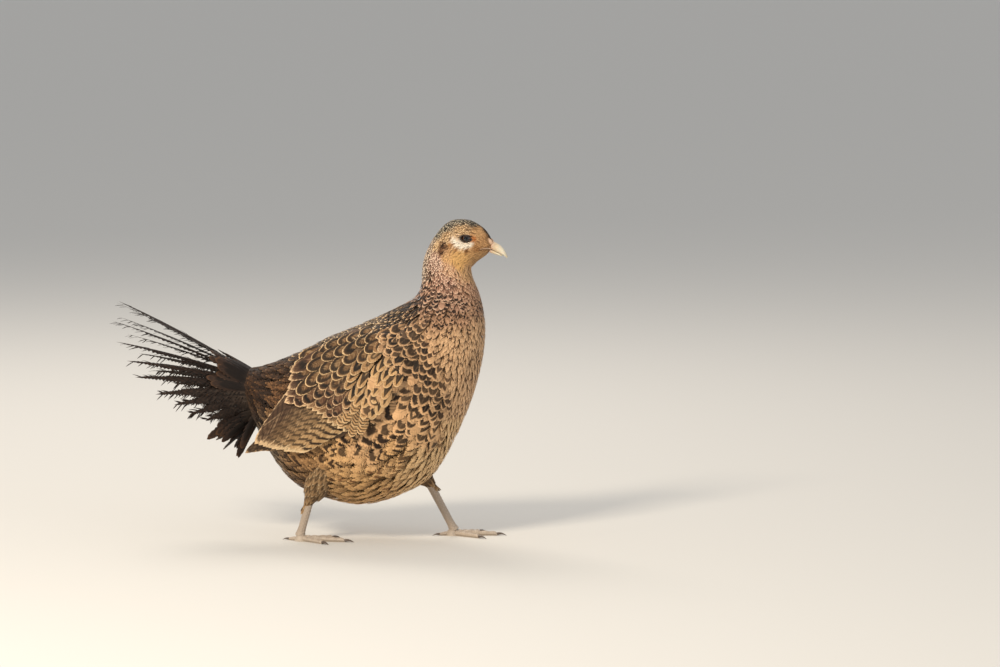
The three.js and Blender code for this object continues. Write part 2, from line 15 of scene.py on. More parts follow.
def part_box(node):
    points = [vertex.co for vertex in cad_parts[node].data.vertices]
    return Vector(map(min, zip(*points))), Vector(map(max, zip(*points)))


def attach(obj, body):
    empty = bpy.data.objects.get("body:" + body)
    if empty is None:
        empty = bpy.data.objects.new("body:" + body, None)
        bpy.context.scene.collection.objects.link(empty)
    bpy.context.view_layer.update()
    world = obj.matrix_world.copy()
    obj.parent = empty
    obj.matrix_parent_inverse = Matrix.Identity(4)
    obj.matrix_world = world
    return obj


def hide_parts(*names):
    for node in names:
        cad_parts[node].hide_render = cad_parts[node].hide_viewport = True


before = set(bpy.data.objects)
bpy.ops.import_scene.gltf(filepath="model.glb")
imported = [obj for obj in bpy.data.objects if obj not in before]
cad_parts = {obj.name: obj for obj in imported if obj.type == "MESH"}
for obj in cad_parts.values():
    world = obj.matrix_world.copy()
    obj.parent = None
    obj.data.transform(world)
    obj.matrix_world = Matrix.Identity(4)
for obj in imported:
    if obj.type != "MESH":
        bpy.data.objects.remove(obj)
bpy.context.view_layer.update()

# ---- Camera, floor and light
# The bird stands on a plain pale studio floor under soft light from large panels. A long lens
# looks at her right side from a little ahead of her and a little above her back.

MM = 0.001
EYE_X, EYE_Z = 87.0, 276.0
between_eyes = sum((corner for side in ("left", "right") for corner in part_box("eye_" + side)), Vector()) / 4
FROM_BIRD = np.array([between_eyes.x / MM - EYE_X, between_eyes.y / MM, between_eyes.z / MM - EYE_Z])


def in_frame(points):
    """Millimetres of the bird as metres of the frame."""
    return (np.asarray(points, float) + FROM_BIRD) * MM


def linear(hex_colour):
    """An sRGB hex colour as linear red, green and blue."""
    parts = [int(hex_colour[i : i + 2], 16) / 255 for i in (1, 3, 5)]
    return [p / 12.92 if p < 0.04045 else ((p + 0.055) / 1.055) ** 2.4 for p in parts]


def rgba(hex_colour):
    return (*linear(hex_colour), 1)


def circle(count):
    """Angles evenly round a circle."""
    return np.linspace(0, 2 * np.pi, count, False)


def add(tree, kind, links=(), stops=(), **settings):
    """Adds one node with its settings.

    Links maps an input to a value, to another node's first output or to a socket, and a list fills the
    inputs in order. A colour ramp has stops, each a place and a hex colour.
    """
    made = tree.nodes.new("ShaderNode" + kind)
    for key, value in settings.items():
        setattr(made, key, value)
    for key, value in links.items() if isinstance(links, dict) else enumerate(links):
        if isinstance(value, bpy.types.Node):
            value = value.outputs[0]
        if isinstance(value, bpy.types.NodeSocket):
            tree.links.new(value, made.inputs[key])
        else:
            made.inputs[key].default_value = value
    for k, (position, colour) in enumerate(stops):
        stop = made.color_ramp.elements[k] if k < 2 else made.color_ramp.elements.new(position)
        stop.position, stop.color = position, rgba(colour)
    return made


def new_material(name):
    material = bpy.data.materials.new(name)
    material.use_nodes = True
    material.node_tree.nodes.clear()
    return material, material.node_tree


def new_piece(name, mesh, material, slot, *nodes):
    """Puts a mesh in the scene. A slot makes it a piece of the bird, which may stand for CAD nodes."""
    made = bpy.data.objects.new(name, mesh)
    bpy.context.scene.collection.objects.link(made)
    if material:
        mesh.materials.append(material)
    if slot:
        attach(made, "root")
    if nodes:
        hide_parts(*nodes)
    return made


TURN, TILT = math.radians(8), math.radians(6)
PIXEL = 0.9  # millimetres of the bird for one pixel of a picture 1000 wide
LENS, SENSOR = 180, 36
ahead = Vector((-math.sin(TURN) * math.cos(TILT), math.cos(TURN) * math.cos(TILT), -math.sin(TILT)))
right = Vector((math.cos(TURN), math.sin(TURN), 0))
up = right.cross(ahead)
aim = Vector(in_frame([EYE_X, -19, EYE_Z])) + (34.5 * right - 94.3 * up) * PIXEL * MM
camera = bpy.data.objects.new("camera", bpy.data.cameras.new("camera"))
camera.data.lens = LENS
camera.data.sensor_width = SENSOR
camera.data.clip_end = 100
camera.matrix_world = (
    Matrix.Translation(aim - LENS / SENSOR * 1000 * PIXEL * MM * ahead)
    @ Matrix((right, up, -ahead)).transposed().to_4x4()
)
bpy.context.scene.collection.objects.link(camera)
bpy.context.scene.camera = camera

# Matt painted board: no gloss, only a soft shadow under the bird.
board, tree = new_material("matt_painted_board")
add(tree, "OutputMaterial", {
    "Surface": add(tree, "BsdfPrincipled", {"Base Color": rgba("#d6d4cf"), "Roughness": 0.9}),
})
floor = bpy.data.meshes.new("floor")
FLOOR = 40
floor.from_pydata(
    [(FLOOR * math.cos(a), FLOOR * math.sin(a), 0) for a in circle(64)], [], [range(64)]
)
new_piece("floor", floor, board, None)

world = bpy.data.worlds.new("studio")
bpy.context.scene.world = world
bpy.context.scene.view_settings.view_transform = "Standard"
world.use_nodes = True
world.node_tree.nodes["Background"].inputs["Color"].default_value = rgba("#e6e7e9")
world.node_tree.nodes["Background"].inputs["Strength"].default_value = 0.66


def panel(name, place, size, watts, colour="#ffffff"):
    """A soft square light panel that faces the bird's middle."""
    light = bpy.data.lights.new(name, "AREA")
    light.shape = "SQUARE"
    light.size = size
    light.energy = watts
    light.color = linear(colour)
    made = bpy.data.objects.new(name, light)
    made.location = place
    made.rotation_euler = (Vector((0, 0, 0.15)) - made.location).to_track_quat("-Z", "Y").to_euler()
    bpy.context.scene.collection.objects.link(made)


panel("key", (-0.7, -1.7, 1.5), 0.5, 44, "#fff1dc")
panel("fill", (1.8, -1.2, 0.9), 1.4, 5)
panel("back", (-0.6, 1.2, 1.7), 0.9, 18, "#fff4e6")

# ---- The skin
# One closed skin covers trunk, neck, head and thighs, where a bird's thin hide lies under the
# feathers. It is drawn in from the outline by the depth of the feathers, and has their markings.

# Hoops across the trunk, tail to bill: back X and Z, belly X and Z, half width, and how far below
# the middle the hoop is widest.
TRUNK = np.array([
    (-117, 153, -113, 114, 14, 0.05),
    (-97, 158, -98, 83, 27, 0.1),
    (-70, 169, -74, 52, 39, 0.16),
    (-40, 184, -42, 37, 48, 0.2),
    (-11, 196, -8, 32, 52, 0.2),
    (13, 207, 27, 42, 54, 0.16),
    (28, 215, 57, 63, 53, 0.1),
    (37, 220.5, 83, 113, 48, 0.03),
    (42, 226, 97.5, 158, 40, 0),
    (45, 234, 101.5, 194, 31, 0),
    (45.5, 244, 97.5, 221, 24.5, 0),
    (47, 255, 90.5, 239.2, 20.5, 0),
    (51, 266, 89, 248, 18.5, 0),
    (58, 279, 91.2, 250.6, 18, 0.06),
    (70, 289.6, 94.8, 254.4, 17.3, 0.1),
    (82.5, 291.6, 98.4, 257, 15.8, 0.1),
    (93.5, 289, 101.6, 259.4, 12.8, 0.1),
    (102, 283.2, 104.2, 261.4, 9, 0.05),
    (108.8, 273.4, 106.6, 263.6, 5, 0),
], float)
LAST_HOOP = len(TRUNK) - 1
FULLNESS = 0.9
# Soft swellings and hollows on each side of the head: X, Z, reach, and height outwards.
FACE = [(87, 276, 6.5, -1.3), (85, 284.5, 6, 1.0), (70, 268, 9, 1.2), (97, 272, 5, -0.8)]
# How deep the skin lies under the outline, hoop by hoop.
COAT_DEPTH = np.array([3, 4, 5, 5, 5, 5, 5, 4.5, 4, 3.5, 3, 2.4, 1.8, 1.2, 0.9, 0.8, 0.7, 0.6, 0.5])


def read_rows(rows, s):
    """A smooth curve through the rows, read at row number s."""
    s = np.asarray(s, float)
    i = np.clip(np.floor(s).astype(int), 0, len(rows) - 2)
    t = (s - i).reshape(s.shape + (1,) * (rows.ndim - 1))
    a, b, d, e = (rows[np.clip(i + k, 0, len(rows) - 1)] for k in (-1, 0, 1, 2))
    return b + 0.5 * t * (d - a + t * (2 * a - 5 * b + 4 * d - e + t * (3 * (b - d) + e - a)))


def hoop(s):
    """A hoop's values at s, carried on in a straight line past the tail's root."""
    inside = np.maximum(s, 0)
    beyond = (s - inside)[..., None] * (TRUNK[1] - TRUNK[0]) * [0.9, 0.5, 0.9, 0.9, 0.6, 0]
    return np.moveaxis(read_rows(TRUNK, inside) + beyond, -1, 0)


def trunk(s, angle, grow=0.0):
    """Points of the trunk's outline. The angle runs from the back, over the left side, to the belly."""
    s, angle = np.broadcast_arrays(np.asarray(s, float), np.asarray(angle, float))
    bx, bz, fx, fz, half, low = hoop(s)
    ux, uz = bx - fx, bz - fz
    tall = np.hypot(ux, uz) / 2
    ux, uz = ux / (2 * tall), uz / (2 * tall)
    across = np.sin(angle)
    rise = (tall + grow) * (np.cos(angle) - low * across**2)
    x, z = (bx + fx) / 2 + ux * rise, (bz + fz) / 2 + uz * rise
    y = np.maximum(half + grow, 0.5) * np.abs(across) ** FULLNESS
    for face_x, face_z, reach, height in FACE:
        near = np.exp(-((x - face_x) ** 2 + (z - face_z) ** 2) / reach**2)
        y = y + height * near * np.minimum(1, y / 6)
    return np.stack([x, np.sign(across) * y, z], -1)


# How one kind of feather is coloured: its ground, its dark marks and its rim. The shapes are shares
# of the feather: how far a dark core reaches, how strong it is, and how far a paler middle reaches in
# it; how wide the rim is; how likely a dark arrowhead is, where it lies, its half width, how far its
# arms slant back, how often one arm is missing and how strongly the shaft parts it; how strong and
# how many the bars are; and how streaked the barbs are.
SHAPE = (
    "core", "core_dark", "hollow", "edge", "arrow", "arrow_at", "arrow_half", "arrow_slant", "one_arm",
    "shaft",
    "bars", "bar_count", "streak",
)
PLAIN = dict(
    core=0, core_dark=0.7, hollow=-0.2, edge=0.08, arrow=0, arrow_at=0.75, arrow_half=0.1, arrow_slant=0.3,
    one_arm=0,
    shaft=0, bars=0, bar_count=0, streak=0.8,
)


def look(ground, mark, rim_tint, **shape):
    """One kind of feather: its three colours and its shares in the order of SHAPE."""
    shares = {**PLAIN, **shape}
    return np.array([linear(c) for c in (ground, mark, rim_tint)]), np.array([shares[key] for key in SHAPE],
        float)


SPIKED = look("#b98858", "#080402", "#fbeccb", core=0.78, core_dark=1, edge=0.24)
CREAM = look("#faeeda", "#e2c9a6", "#fff9ee", streak=0.3)
STREAKED = look("#cf9f6c", "#3c2513", "#edcd9f", core=0.5, core_dark=0.8, edge=0.34)
FRINGED = look("#b98c70", "#25140e", "#f0dac0", core=0.64, core_dark=0.92, edge=0.36)
BLOB = look("#ab8067", "#0a0504", "#e8c8a8", arrow=0.98, arrow_at=0.7, arrow_half=0.17, arrow_slant=0.1,
    edge=0.12)
HEART = look("#bf946a", "#080403", "#dcb98e", arrow=0.98, arrow_at=0.71, arrow_half=0.21, arrow_slant=0.2,
    one_arm=0.06, shaft=0.1, edge=0.05,
    streak=1.2)
OPEN_ARROW = look("#dcad7c", "#100906", "#dcb98e", arrow=0.9, arrow_at=0.78, arrow_half=0.15,
    arrow_slant=0.28, one_arm=0.2, shaft=0.1,
    edge=0.03, streak=0.9)
FLANK = look("#dcad7c", "#1c1009", "#dcb98e", arrow=0.93, arrow_at=0.78, arrow_half=0.13, arrow_slant=0.2,
    one_arm=0.2, edge=0.03, streak=0.9)
LOW = look("#d8a871", "#24150c", "#e4bd88", arrow=0.75, arrow_at=0.76, arrow_half=0.12, arrow_slant=0.35,
    one_arm=0.4, edge=0.03, streak=1.3)
FINE = look("#e6b98a", "#4a2d1d", "#eec79a", core=0.2, core_dark=0.12, arrow=0.2, arrow_at=0.8,
    arrow_half=0.09, arrow_slant=0.3, one_arm=0.5,
    edge=0.03, streak=1.5)
HOOKED = look("#b98c6b", "#120a07", "#dcb691", arrow=0.9, arrow_at=0.76, arrow_half=0.12, arrow_slant=0.25,
    one_arm=0.4, edge=0.08, streak=1.2)
BUFF = look("#e4bd89", "#a87c4e", "#efcf9f", edge=0.03, streak=1.4)
FRINGED_DARK = look("#6c4a2e", "#170e08", "#e6c89e", core=0.88, core_dark=0.8, hollow=0.32, edge=0.14,
    streak=0.9)
MANTLE = look("#8a6748", "#0a0504", "#dfbb8f", core=0.76, core_dark=1, edge=0.2)
BEHIND_EAR = look("#7d5233", "#1f120a", "#a87a4e", core=0.7, core_dark=0.95)
UNDER_EYE = look("#c08a55", "#6a4426", "#d6a670", core=0.5, core_dark=0.5)
# Near-black around the tail's root, where the tail and the wing tip overhang the body: painted shade.
REAR_DARK = look("#3a271b", "#150e0a", "#6d4c2c", core=0.6)
OVER_BILL = look("#4a2e1b", "#120a06", "#8a6038", core=0.7, core_dark=0.9)
# The coat around places of the body: X, distance from the middle plane, Z and reach; the length,
# width and gap of its feathers in millimetres; and their kind.
COAT = [
    (84, 5, 290.5, 6, 5.6, 2.5, 2.2, SPIKED), (72, 5, 288, 6, 5.8, 2.5, 2.2, SPIKED),
    (62, 5, 281, 6, 5.8, 2.5, 2.2, SPIKED),
    (95, 3, 288, 4, 4.8, 2.1, 1.8, SPIKED),
    (104.5, 1, 281, 2.4, 3.4, 1.2, 1.1, OVER_BILL),
    (108.5, 1, 275, 2.0, 2.8, 1.1, 1.0, OVER_BILL),
    (100, 8, 281, 4, 4.0, 1.3, 1.1,
    look("#d6a671", "#8a5c34", "#e8c594", core=0.45, core_dark=0.45, edge=0.18)),
    (103, 7, 272, 4, 3.6, 1.2, 1.0,
    look("#d29f6a", "#7c4f2b", "#e2ba86", core=0.5, core_dark=0.5, edge=0.14)),
    (96, 13.5, 276, 1.8, 2.8, 1.0, 0.9, look("#c4783f", "#8f4f27", "#d99a66", core=0.4, core_dark=0.3)),
    (86, 14, 286, 5, 4.6, 1.5, 1.3, STREAKED),
    (82.8, 16, 280.8, 0.8, 2.8, 1.0, 0.8, CREAM), (86.2, 16, 281.6, 0.7, 2.8, 1.0, 0.8, CREAM),
    (90.5, 15, 281.6, 0.5, 2.8, 1.0, 0.8, CREAM),
    (76.5, 17, 277.9, 1.4, 3.0, 1.1, 0.9, CREAM), (78.4, 17, 275.4, 1.7, 3.0, 1.1, 0.9, CREAM),
    (81.1, 17, 272.6, 1.8, 3.0, 1.1, 0.9, CREAM), (84.4, 17, 270.7, 1.7, 3.0, 1.1, 0.9, CREAM),
    (88.4, 16.5, 270, 1.6, 3.0, 1.1, 0.9, CREAM),
    (92.9, 15.5, 270.8, 1.3, 2.8, 1.0, 0.9, CREAM), (96, 14.5, 272.2, 0.8, 2.6, 1.0, 0.9, CREAM),
    (74.5, 17, 272, 1.5, 3.6, 1.2, 1.1, UNDER_EYE), (80, 17, 267.4, 1.4, 3.6, 1.2, 1.1, UNDER_EYE),
    (90, 16, 266, 1.6, 3.4, 1.2, 1.0, look(
        "#a87141", "#3f2615", "#c4925e", core=0.66, core_dark=0.8)),
        (98, 12, 267.8, 2.2, 3.4, 1.2, 1.0, UNDER_EYE),
    (82, 16, 257, 7, 5.0, 1.5, 1.4,
    look("#e0b070", "#b9864a", "#e8bf80", core=0.4, core_dark=0.15, edge=0.06, streak=0.8)),
    (98, 5, 258, 5, 4.0, 1.3, 1.2, look("#cc9f6a", "#7e5430", "#dcb17c", core=0.5, core_dark=0.4)),
    (67.5, 17, 272, 2.8, 4.4, 1.3, 1.2, BEHIND_EAR), (66.5, 17, 266.5, 2.6, 4.4, 1.3, 1.2, BEHIND_EAR),
    (70, 17, 261, 3.4, 4.4, 1.5, 1.3,
    look("#d6a56f", "#8a5f39", "#e8c490", core=0.45, core_dark=0.4, edge=0.16)),
    (70, 16, 281, 5, 4.8, 1.6, 1.4, STREAKED), (60, 15, 274, 5, 5.0, 1.8, 1.5, STREAKED),
    (56, 4, 277, 8, 6.0, 2.3, 1.9, FRINGED), (48, 6, 262, 8, 6.4, 2.5, 2.1, FRINGED),
    (46, 6, 248, 8, 7.0, 2.8, 2.4, FRINGED),
    (60, 17, 258, 7, 5.6, 2.2, 1.8,
    look("#c2937c", "#5d382a", "#ebcfb6", core=0.6, core_dark=0.75, edge=0.3)),
    (74, 17, 250, 7, 5.4, 2.2, 1.8,
    look("#cd9d79", "#85563a", "#e8c7a2", core=0.52, core_dark=0.5, edge=0.22)),
    (86, 6, 246, 8, 5.0, 2.1, 1.7,
    look("#d4a676", "#a0703f", "#e6c494", core=0.4, core_dark=0.35, edge=0.16)),
    (68, 20, 240, 8, 6.0, 2.6, 2.1,
    look("#bf9078", "#65402f", "#e4c3a8", core=0.55, core_dark=0.65, edge=0.26)),
    (88, 12, 232, 8, 6.0, 2.7, 2.2, look("#c29475", "#74492f", "#e0bc99", core=0.5, core_dark=0.5, edge=0.2)),
    (46, 8, 232, 9, 10, 5.6, 4.5, BLOB), (62, 24, 226, 9, 10, 5.8, 4.6, BLOB),
    (78, 22, 222, 8, 9, 5.2, 4.2, BLOB),
    (95, 10, 218, 7, 7.5, 4.0, 3.3, HOOKED), (70, 32, 210, 8, 9, 5.4, 4.4, HOOKED),
    (84, 24, 208, 7, 8, 4.6, 3.8, HOOKED),
    (96, 14, 180, 20, 9.5, 4.0, 3.3, FINE), (80, 34, 190, 10, 9.5, 4.4, 3.6, FINE),
    (93, 22, 138, 16, 11, 4.8, 3.9, FINE),
    (44, 42, 194, 7, 15, 9.5, 7.6, HEART), (48, 42, 182, 7, 16, 11, 8.8, HEART),
    (53, 42, 167, 8, 18, 12, 9.6, HEART),
    (63, 41, 152, 8, 17, 11, 9, HEART), (70, 37, 138, 7, 15, 10, 8, HEART),
    (52, 45, 134, 9, 22, 13, 10, OPEN_ARROW), (46, 46, 116, 9, 22, 13, 10, OPEN_ARROW),
    (62, 38, 108, 8, 18, 11, 9, OPEN_ARROW),
    (34, 47, 94, 9, 20, 11, 8.5, LOW),
    (26, 51, 142, 8, 28, 20, 12.5, FLANK), (22, 51, 126, 9, 28, 20, 12.5, FLANK),
    (12, 51, 102, 12, 26, 17, 11, FLANK),
    (-12, 50, 92, 14, 24, 13, 9.5, LOW), (-42, 46, 88, 18, 24, 11, 8.5, look(
        "#9d764c", "#38230f", "#c09567", core=0.4, core_dark=0.4, arrow=0.5, arrow_half=0.12, one_arm=0.4,
        streak=1.2)),
    (60, 30, 82, 14, 14, 6, 5, BUFF), (84, 20, 106, 12, 11, 5, 4.2, BUFF),
    (52, 12, 64, 16, 16, 6.4, 5.4, BUFF),
    (10, 22, 42, 22, 18, 7, 6,
    look("#d2a46c", "#7b5432", "#e4bd88", core=0.3, core_dark=0.3, arrow=0.25, streak=1.3)),
    (-44, 24, 52, 18, 20, 6, 5.6,
    look("#8a6744", "#2b1b11", "#b28c5e", core=0.62, core_dark=0.7, streak=1.3)),
    (-82, 14, 76, 16, 20, 5.6, 5.4,
    look("#7c6953", "#30241a", "#a9967a", core=0.5, core_dark=0.6, streak=1.3)),
    (-92, 20, 98, 9, 30, 7, 6, REAR_DARK), (-85, 26, 116, 9, 32, 7, 6, REAR_DARK),
    (-85, 22, 134, 9, 32, 7, 6, REAR_DARK),
    (34, 12, 216, 9, 18, 4.6, 3.5, MANTLE), (28, 28, 206, 8, 18, 5.2, 3.9, MANTLE),
    (46, 20, 212, 6, 14, 4.4, 3.5, MANTLE),
    (8, 16, 203, 10, 14, 7.0, 5.3, FRINGED_DARK), (-20, 14, 189, 16, 14, 7.2, 5.5, FRINGED_DARK),
    (-46, 16, 178, 12, 15, 7.6, 6, FRINGED_DARK),
    (-78, 10, 164, 13, 18, 7, 5.6,
    look("#4c3423", "#1a110a", "#8a6844", core=0.5, core_dark=0.7, bars=0.4, bar_count=9, streak=1)),
    (-62, 40, 132, 13, 20, 6.4, 5.4,
    look("#6b492d", "#1a1009", "#a0744a", core=0.4, core_dark=0.5, bars=0.4, bar_count=6, streak=1.5)),
    (-88, 14, 150, 9, 30, 7, 6, REAR_DARK), (-108, 8, 120, 12, 32, 7.5, 6.4, REAR_DARK),
]
PLACE = np.array([row[:4] for row in COAT], float)
SIZES = np.array([row[4:7] for row in COAT], float)
TINTS, SHAPES = (np.array([row[7][k] for row in COAT]) for k in (0, 1))


def coat_at(points):
    """Colours, marking shapes and sizes of the feathers at points of the body."""
    points = np.asarray(points, float)
    away = points[..., None, :] * [1, np.nan, 1] - PLACE[:, :3]
    away[..., 1] = np.abs(points[..., None, 1]) - PLACE[:, 1]
    share = ((away**2).sum(-1) / PLACE[:, 3] ** 2 + 0.01) ** -2.5
    share /= share.sum(-1, keepdims=True)
    return tuple(np.tensordot(share, values, 1) for values in (TINTS, SHAPES, SIZES))


def mesh_from(name, points, faces):
    """A smooth mesh, turned outwards, from points in millimetres of the bird."""
    mesh = bpy.data.meshes.new(name)
    mesh.from_pydata(in_frame(points).tolist(), [], [list(map(int, f)) for f in faces])
    work = bmesh.new()
    work.from_mesh(mesh)
    bmesh.ops.recalc_face_normals(work, faces=work.faces)
    work.to_mesh(mesh)
    work.free()
    mesh.polygons.foreach_set("use_smooth", [True] * len(mesh.polygons))
    mesh.update()
    return mesh


def new_form(name, form, material, slot, *nodes):
    """A piece from the points and faces of a form."""
    return new_piece(name, mesh_from(name, *form), material, slot, *nodes)


def store(mesh, name, values):
    """Keeps a number, or a colour with its alpha, for each point of a mesh."""
    kind, field = ("FLOAT", "value") if np.ndim(values) == 1 else ("FLOAT_COLOR", "color")
    mesh.attributes.new(name, kind, "POINT").data.foreach_set(field, np.asarray(values, np.float32).ravel())


def tube(hoops):
    """Points and faces of a closed tube through hoops of points."""
    hoops = np.asarray(hoops, float)
    rows, around = hoops.shape[:2]
    faces = []
    for i in range(rows - 1):
        for j in range(around):
            a, b = i * around + j, i * around + (j + 1) % around
            faces.append((a, b, b + around, a + around))
    base = (rows - 1) * around
    for j in range(around):
        faces.append((rows * around, (j + 1) % around, j))
        faces.append((rows * around + 1, base + j, base + (j + 1) % around))
    return np.concatenate([hoops.reshape(-1, 3), [hoops[0].mean(0), hoops[-1].mean(0)]]), faces


SOCKET = {"deep": 4, "reach": 6}
s_rows = np.linspace(0, LAST_HOOP, 150)
angles = circle(96)
depth = read_rows(COAT_DEPTH, s_rows)[:, None]
under_coat = trunk(s_rows[:, None], angles, -depth)
from_eye = np.hypot(under_coat[..., 0] - EYE_X, under_coat[..., 2] - EYE_Z)
under_coat[...,
    1] -= np.sign(under_coat[..., 1]) * SOCKET["deep"] * np.exp(-((from_eye / SOCKET["reach"]) ** 4))
skin = new_form("skin", tube(under_coat), None, "plumage")

LEGS = {
    "left": {"hip": (8, 26, 88), "hock": (42, 26, 57), "foot": (68, 27, 8), "turn": 6, "past": 9},
    "right": {"hip": (-30, -27, 84), "hock": (-49, -26, 58), "foot": (-63, -27, 8), "turn": -4, "past": 21},
}
THIGH = np.array([20, 19, 17, 13, 7.5])
THIGH_DEPTH = 3.2


def limb(start, end, radius, t, angle):
    """Points on a round limb from start to end, t from 0 to 1, whose radius may change along it."""
    start, end = np.asarray(start, float), np.asarray(end, float)
    down = (end - start) / np.linalg.norm(end - start)
    side = np.array([0, 1, 0]) - down * down[1]
    side /= np.linalg.norm(side)
    over = np.cross(down, side)
    t, angle = np.broadcast_arrays(t, angle)
    ring = np.cos(angle)[..., None] * side + np.sin(angle)[..., None] * over
    return start + (end - start) * t[..., None] + ring * np.broadcast_to(radius, t.shape)[..., None]


def thigh_ends(leg):
    hip, hock, foot = (np.array(leg[k], float) for k in ("hip", "hock", "foot"))
    return hip, hock + (foot - hock) / np.linalg.norm(foot - hock) * leg["past"]


for side, leg in LEGS.items():
    t = np.linspace(0, 0.97, 24)[:, None]
    radius = read_rows(THIGH[:, None], t[:, 0] * 4) - THIGH_DEPTH
    under = new_form("thigh", tube(limb(*thigh_ends(leg), radius, t, angles[::3])), None, None)
    join = skin.modifiers.new("join", "BOOLEAN")
    join.operation = "UNION"
    join.object = under
    with bpy.context.temp_override(object=skin, active_object=skin):
        bpy.ops.object.modifier_apply(modifier=join.name)
    bpy.data.objects.remove(under)
place = np.zeros(len(skin.data.vertices) * 3)
skin.data.vertices.foreach_get("co", place)
# The skin takes the feathers' ground colours at about half their brightness: painted shade under the coat.
ground = coat_at(place.reshape(-1, 3) / MM - FROM_BIRD)[0][:, 0] * 0.55
store(skin.data, "ground", np.concatenate([ground, np.ones((len(ground), 1))], 1))


# Dry hide with down on it: dull and finely grained, coloured darker than the feathers over it as painted
# shade, for the shadow they cast on it.
hide, tree = new_material("downy_hide")
grain = add(tree, "TexNoise", {"Scale": 1 / (1.2 * MM), "Detail": 4})
tone = add(tree, "MapRange", {0: grain, 1: 0.3, 2: 0.7, 3: 0.75, 4: 1.1})
tint = add(tree, "MixRGB", {0: 1.0, 1: add(tree, "Attribute", attribute_name="ground"), 2: tone},
    blend_type="MULTIPLY")
bump = add(tree, "Bump", {"Height": grain, "Strength": 0.5, "Distance": 0.4 * MM})
add(tree, "OutputMaterial", {
    "Surface": add(tree, "BsdfPrincipled", {"Base Color": tint, "Roughness": 0.8, "Normal": bump}),
})
skin.data.materials.append(hide)
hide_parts("torso", "neck", "head", "thigh_left", "thigh_right")

# ---- Shanks, feet and claws
# Bare legs in overlapping scutes: two rows of broad ones down the front, small ones behind, and a
# band of them over each toe. The soles and toe pads lie flat on the floor.

SHANK = {"radius": 3.5, "top": 0.25, "scutes": 17, "step": 0.28}
TOES = {
    "middle": {"heading": 0, "length": 38, "wide": 6, "root": 3},
    "inner": {"heading": -34, "length": 27, "wide": 5.4, "root": 2},
    "outer": {"heading": 36, "length": 29, "wide": 5.4, "root": 2},
    "hind": {"heading": 168, "length": 9, "wide": 4.4, "root": 3},
}
HEEL = {"radius": 6, "high": 7}
CLAW = {"length": 9, "wide": 3.1, "high": 3}
SIDES = {"left": 1, "right": -1}


def scute_relief(rows, columns, step):
    """Height of overlapping scutes: each rises towards its lower end and is edged by a fine groove."""
    saw = np.mod(rows + 0.5 * np.mod(np.floor(columns), 2), 1)
    groove = np.minimum(np.abs(np.mod(columns, 1) - 0.5) / 0.5, 1) ** 8
    return step * (saw**0.7 - 0.5) - step * 0.9 * groove


def shank_hoops(leg):
    hock, foot = np.array(leg["hock"], float), np.array(leg["foot"], float)
    t = np.linspace(0, 1.07, 190)[:, None]
    angle = circle(56)
    flare = 0.3 * np.clip((t - 0.9) / 0.14, 0, 1) ** 2
    radius = SHANK["radius"] * (1 + SHANK["top"] * (1 - np.minimum(t, 1)) ** 3 + flare)
    front = np.sin(angle)
    big = scute_relief(t * SHANK["scutes"], (angle - np.pi / 2) / 1.1 + 10, SHANK["step"])
    small = scute_relief(t * SHANK["scutes"] * 2.2, angle / 0.55 + 0.5, SHANK["step"] * 0.6)
    shape = radius * (1 - 0.08 * np.cos(angle) ** 2) + np.where(front > 0.1, big, small)
    return limb(hock, foot, shape, t * np.ones_like(angle), angle * np.ones_like(t))


def toe_line(leg, side, toe):
    heading = math.radians(leg["turn"] - SIDES[side] * toe["heading"])
    ahead_toe = np.array([math.cos(heading), math.sin(heading), 0])
    return np.array([*leg["foot"][:2], 0]) + ahead_toe * toe["root"], ahead_toe


def on_sole(start, ahead_toe, along, wide, high, angle, lift=0.0):
    """Hoops that stand on a flat sole, with their width, height and place along the toe."""
    out = np.array([-ahead_toe[1], ahead_toe[0], 0])
    across = 0.5 * np.cos(angle) * np.where(np.sin(angle) < 0, 0.86, 1) * wide
    z = np.maximum(0.4 + 0.5 * np.sin(angle), 0) * high + lift
    return start + ahead_toe * along[..., None] + out * across[..., None] + np.array([0, 0, 1]) * z[..., None]


# Leg scale: horny and dry with a waxy gloss, grey-brown, paler on the scutes' raised edges.
scale, tree = new_material("leg_scale")
grain = add(tree, "TexNoise", {"Scale": 1 / (1.5 * MM), "Detail": 5})
# Paler where the surface bulges out, along the scutes' raised edges.
convexity = add(tree, "NewGeometry").outputs["Pointiness"]
tone = add(tree, "ValToRGB", {"Fac": grain}, [(0.3, "#877567"), (0.7, "#b5a491")])
pale = add(tree, "MapRange", {0: convexity, 1: 0.5, 2: 0.56, 3: 0, 4: 0.7})
tint = add(tree, "MixRGB", {0: pale, 1: tone, 2: rgba("#d8ccba")})
bump = add(tree, "Bump", {"Height": grain, "Strength": 0.3, "Distance": 0.15 * MM})
add(tree, "OutputMaterial", {
    "Surface": add(tree, "BsdfPrincipled", {"Base Color": tint, "Roughness": 0.5, "Normal": bump}),
})

# Claw horn: smooth, mottled dark and paler grey-brown.
claw_horn, tree = new_material("claw_horn")
grain = add(tree, "TexNoise", {"Scale": 1 / (2 * MM), "Detail": 3})
tone = add(tree, "ValToRGB", {"Fac": grain}, [(0, "#3d3129"), (1, "#75665a")])
add(tree, "OutputMaterial", {"Surface": add(tree, "BsdfPrincipled", {"Base Color": tone, "Roughness": 0.32})})


def joined(parts):
    """Points and faces of several forms as one."""
    points, faces, first = [], [], 0
    for part_points, part_faces in parts:
        points.append(part_points)
        faces += [tuple(i + first for i in face) for face in part_faces]
        first += len(part_points)
    return np.concatenate(points), faces


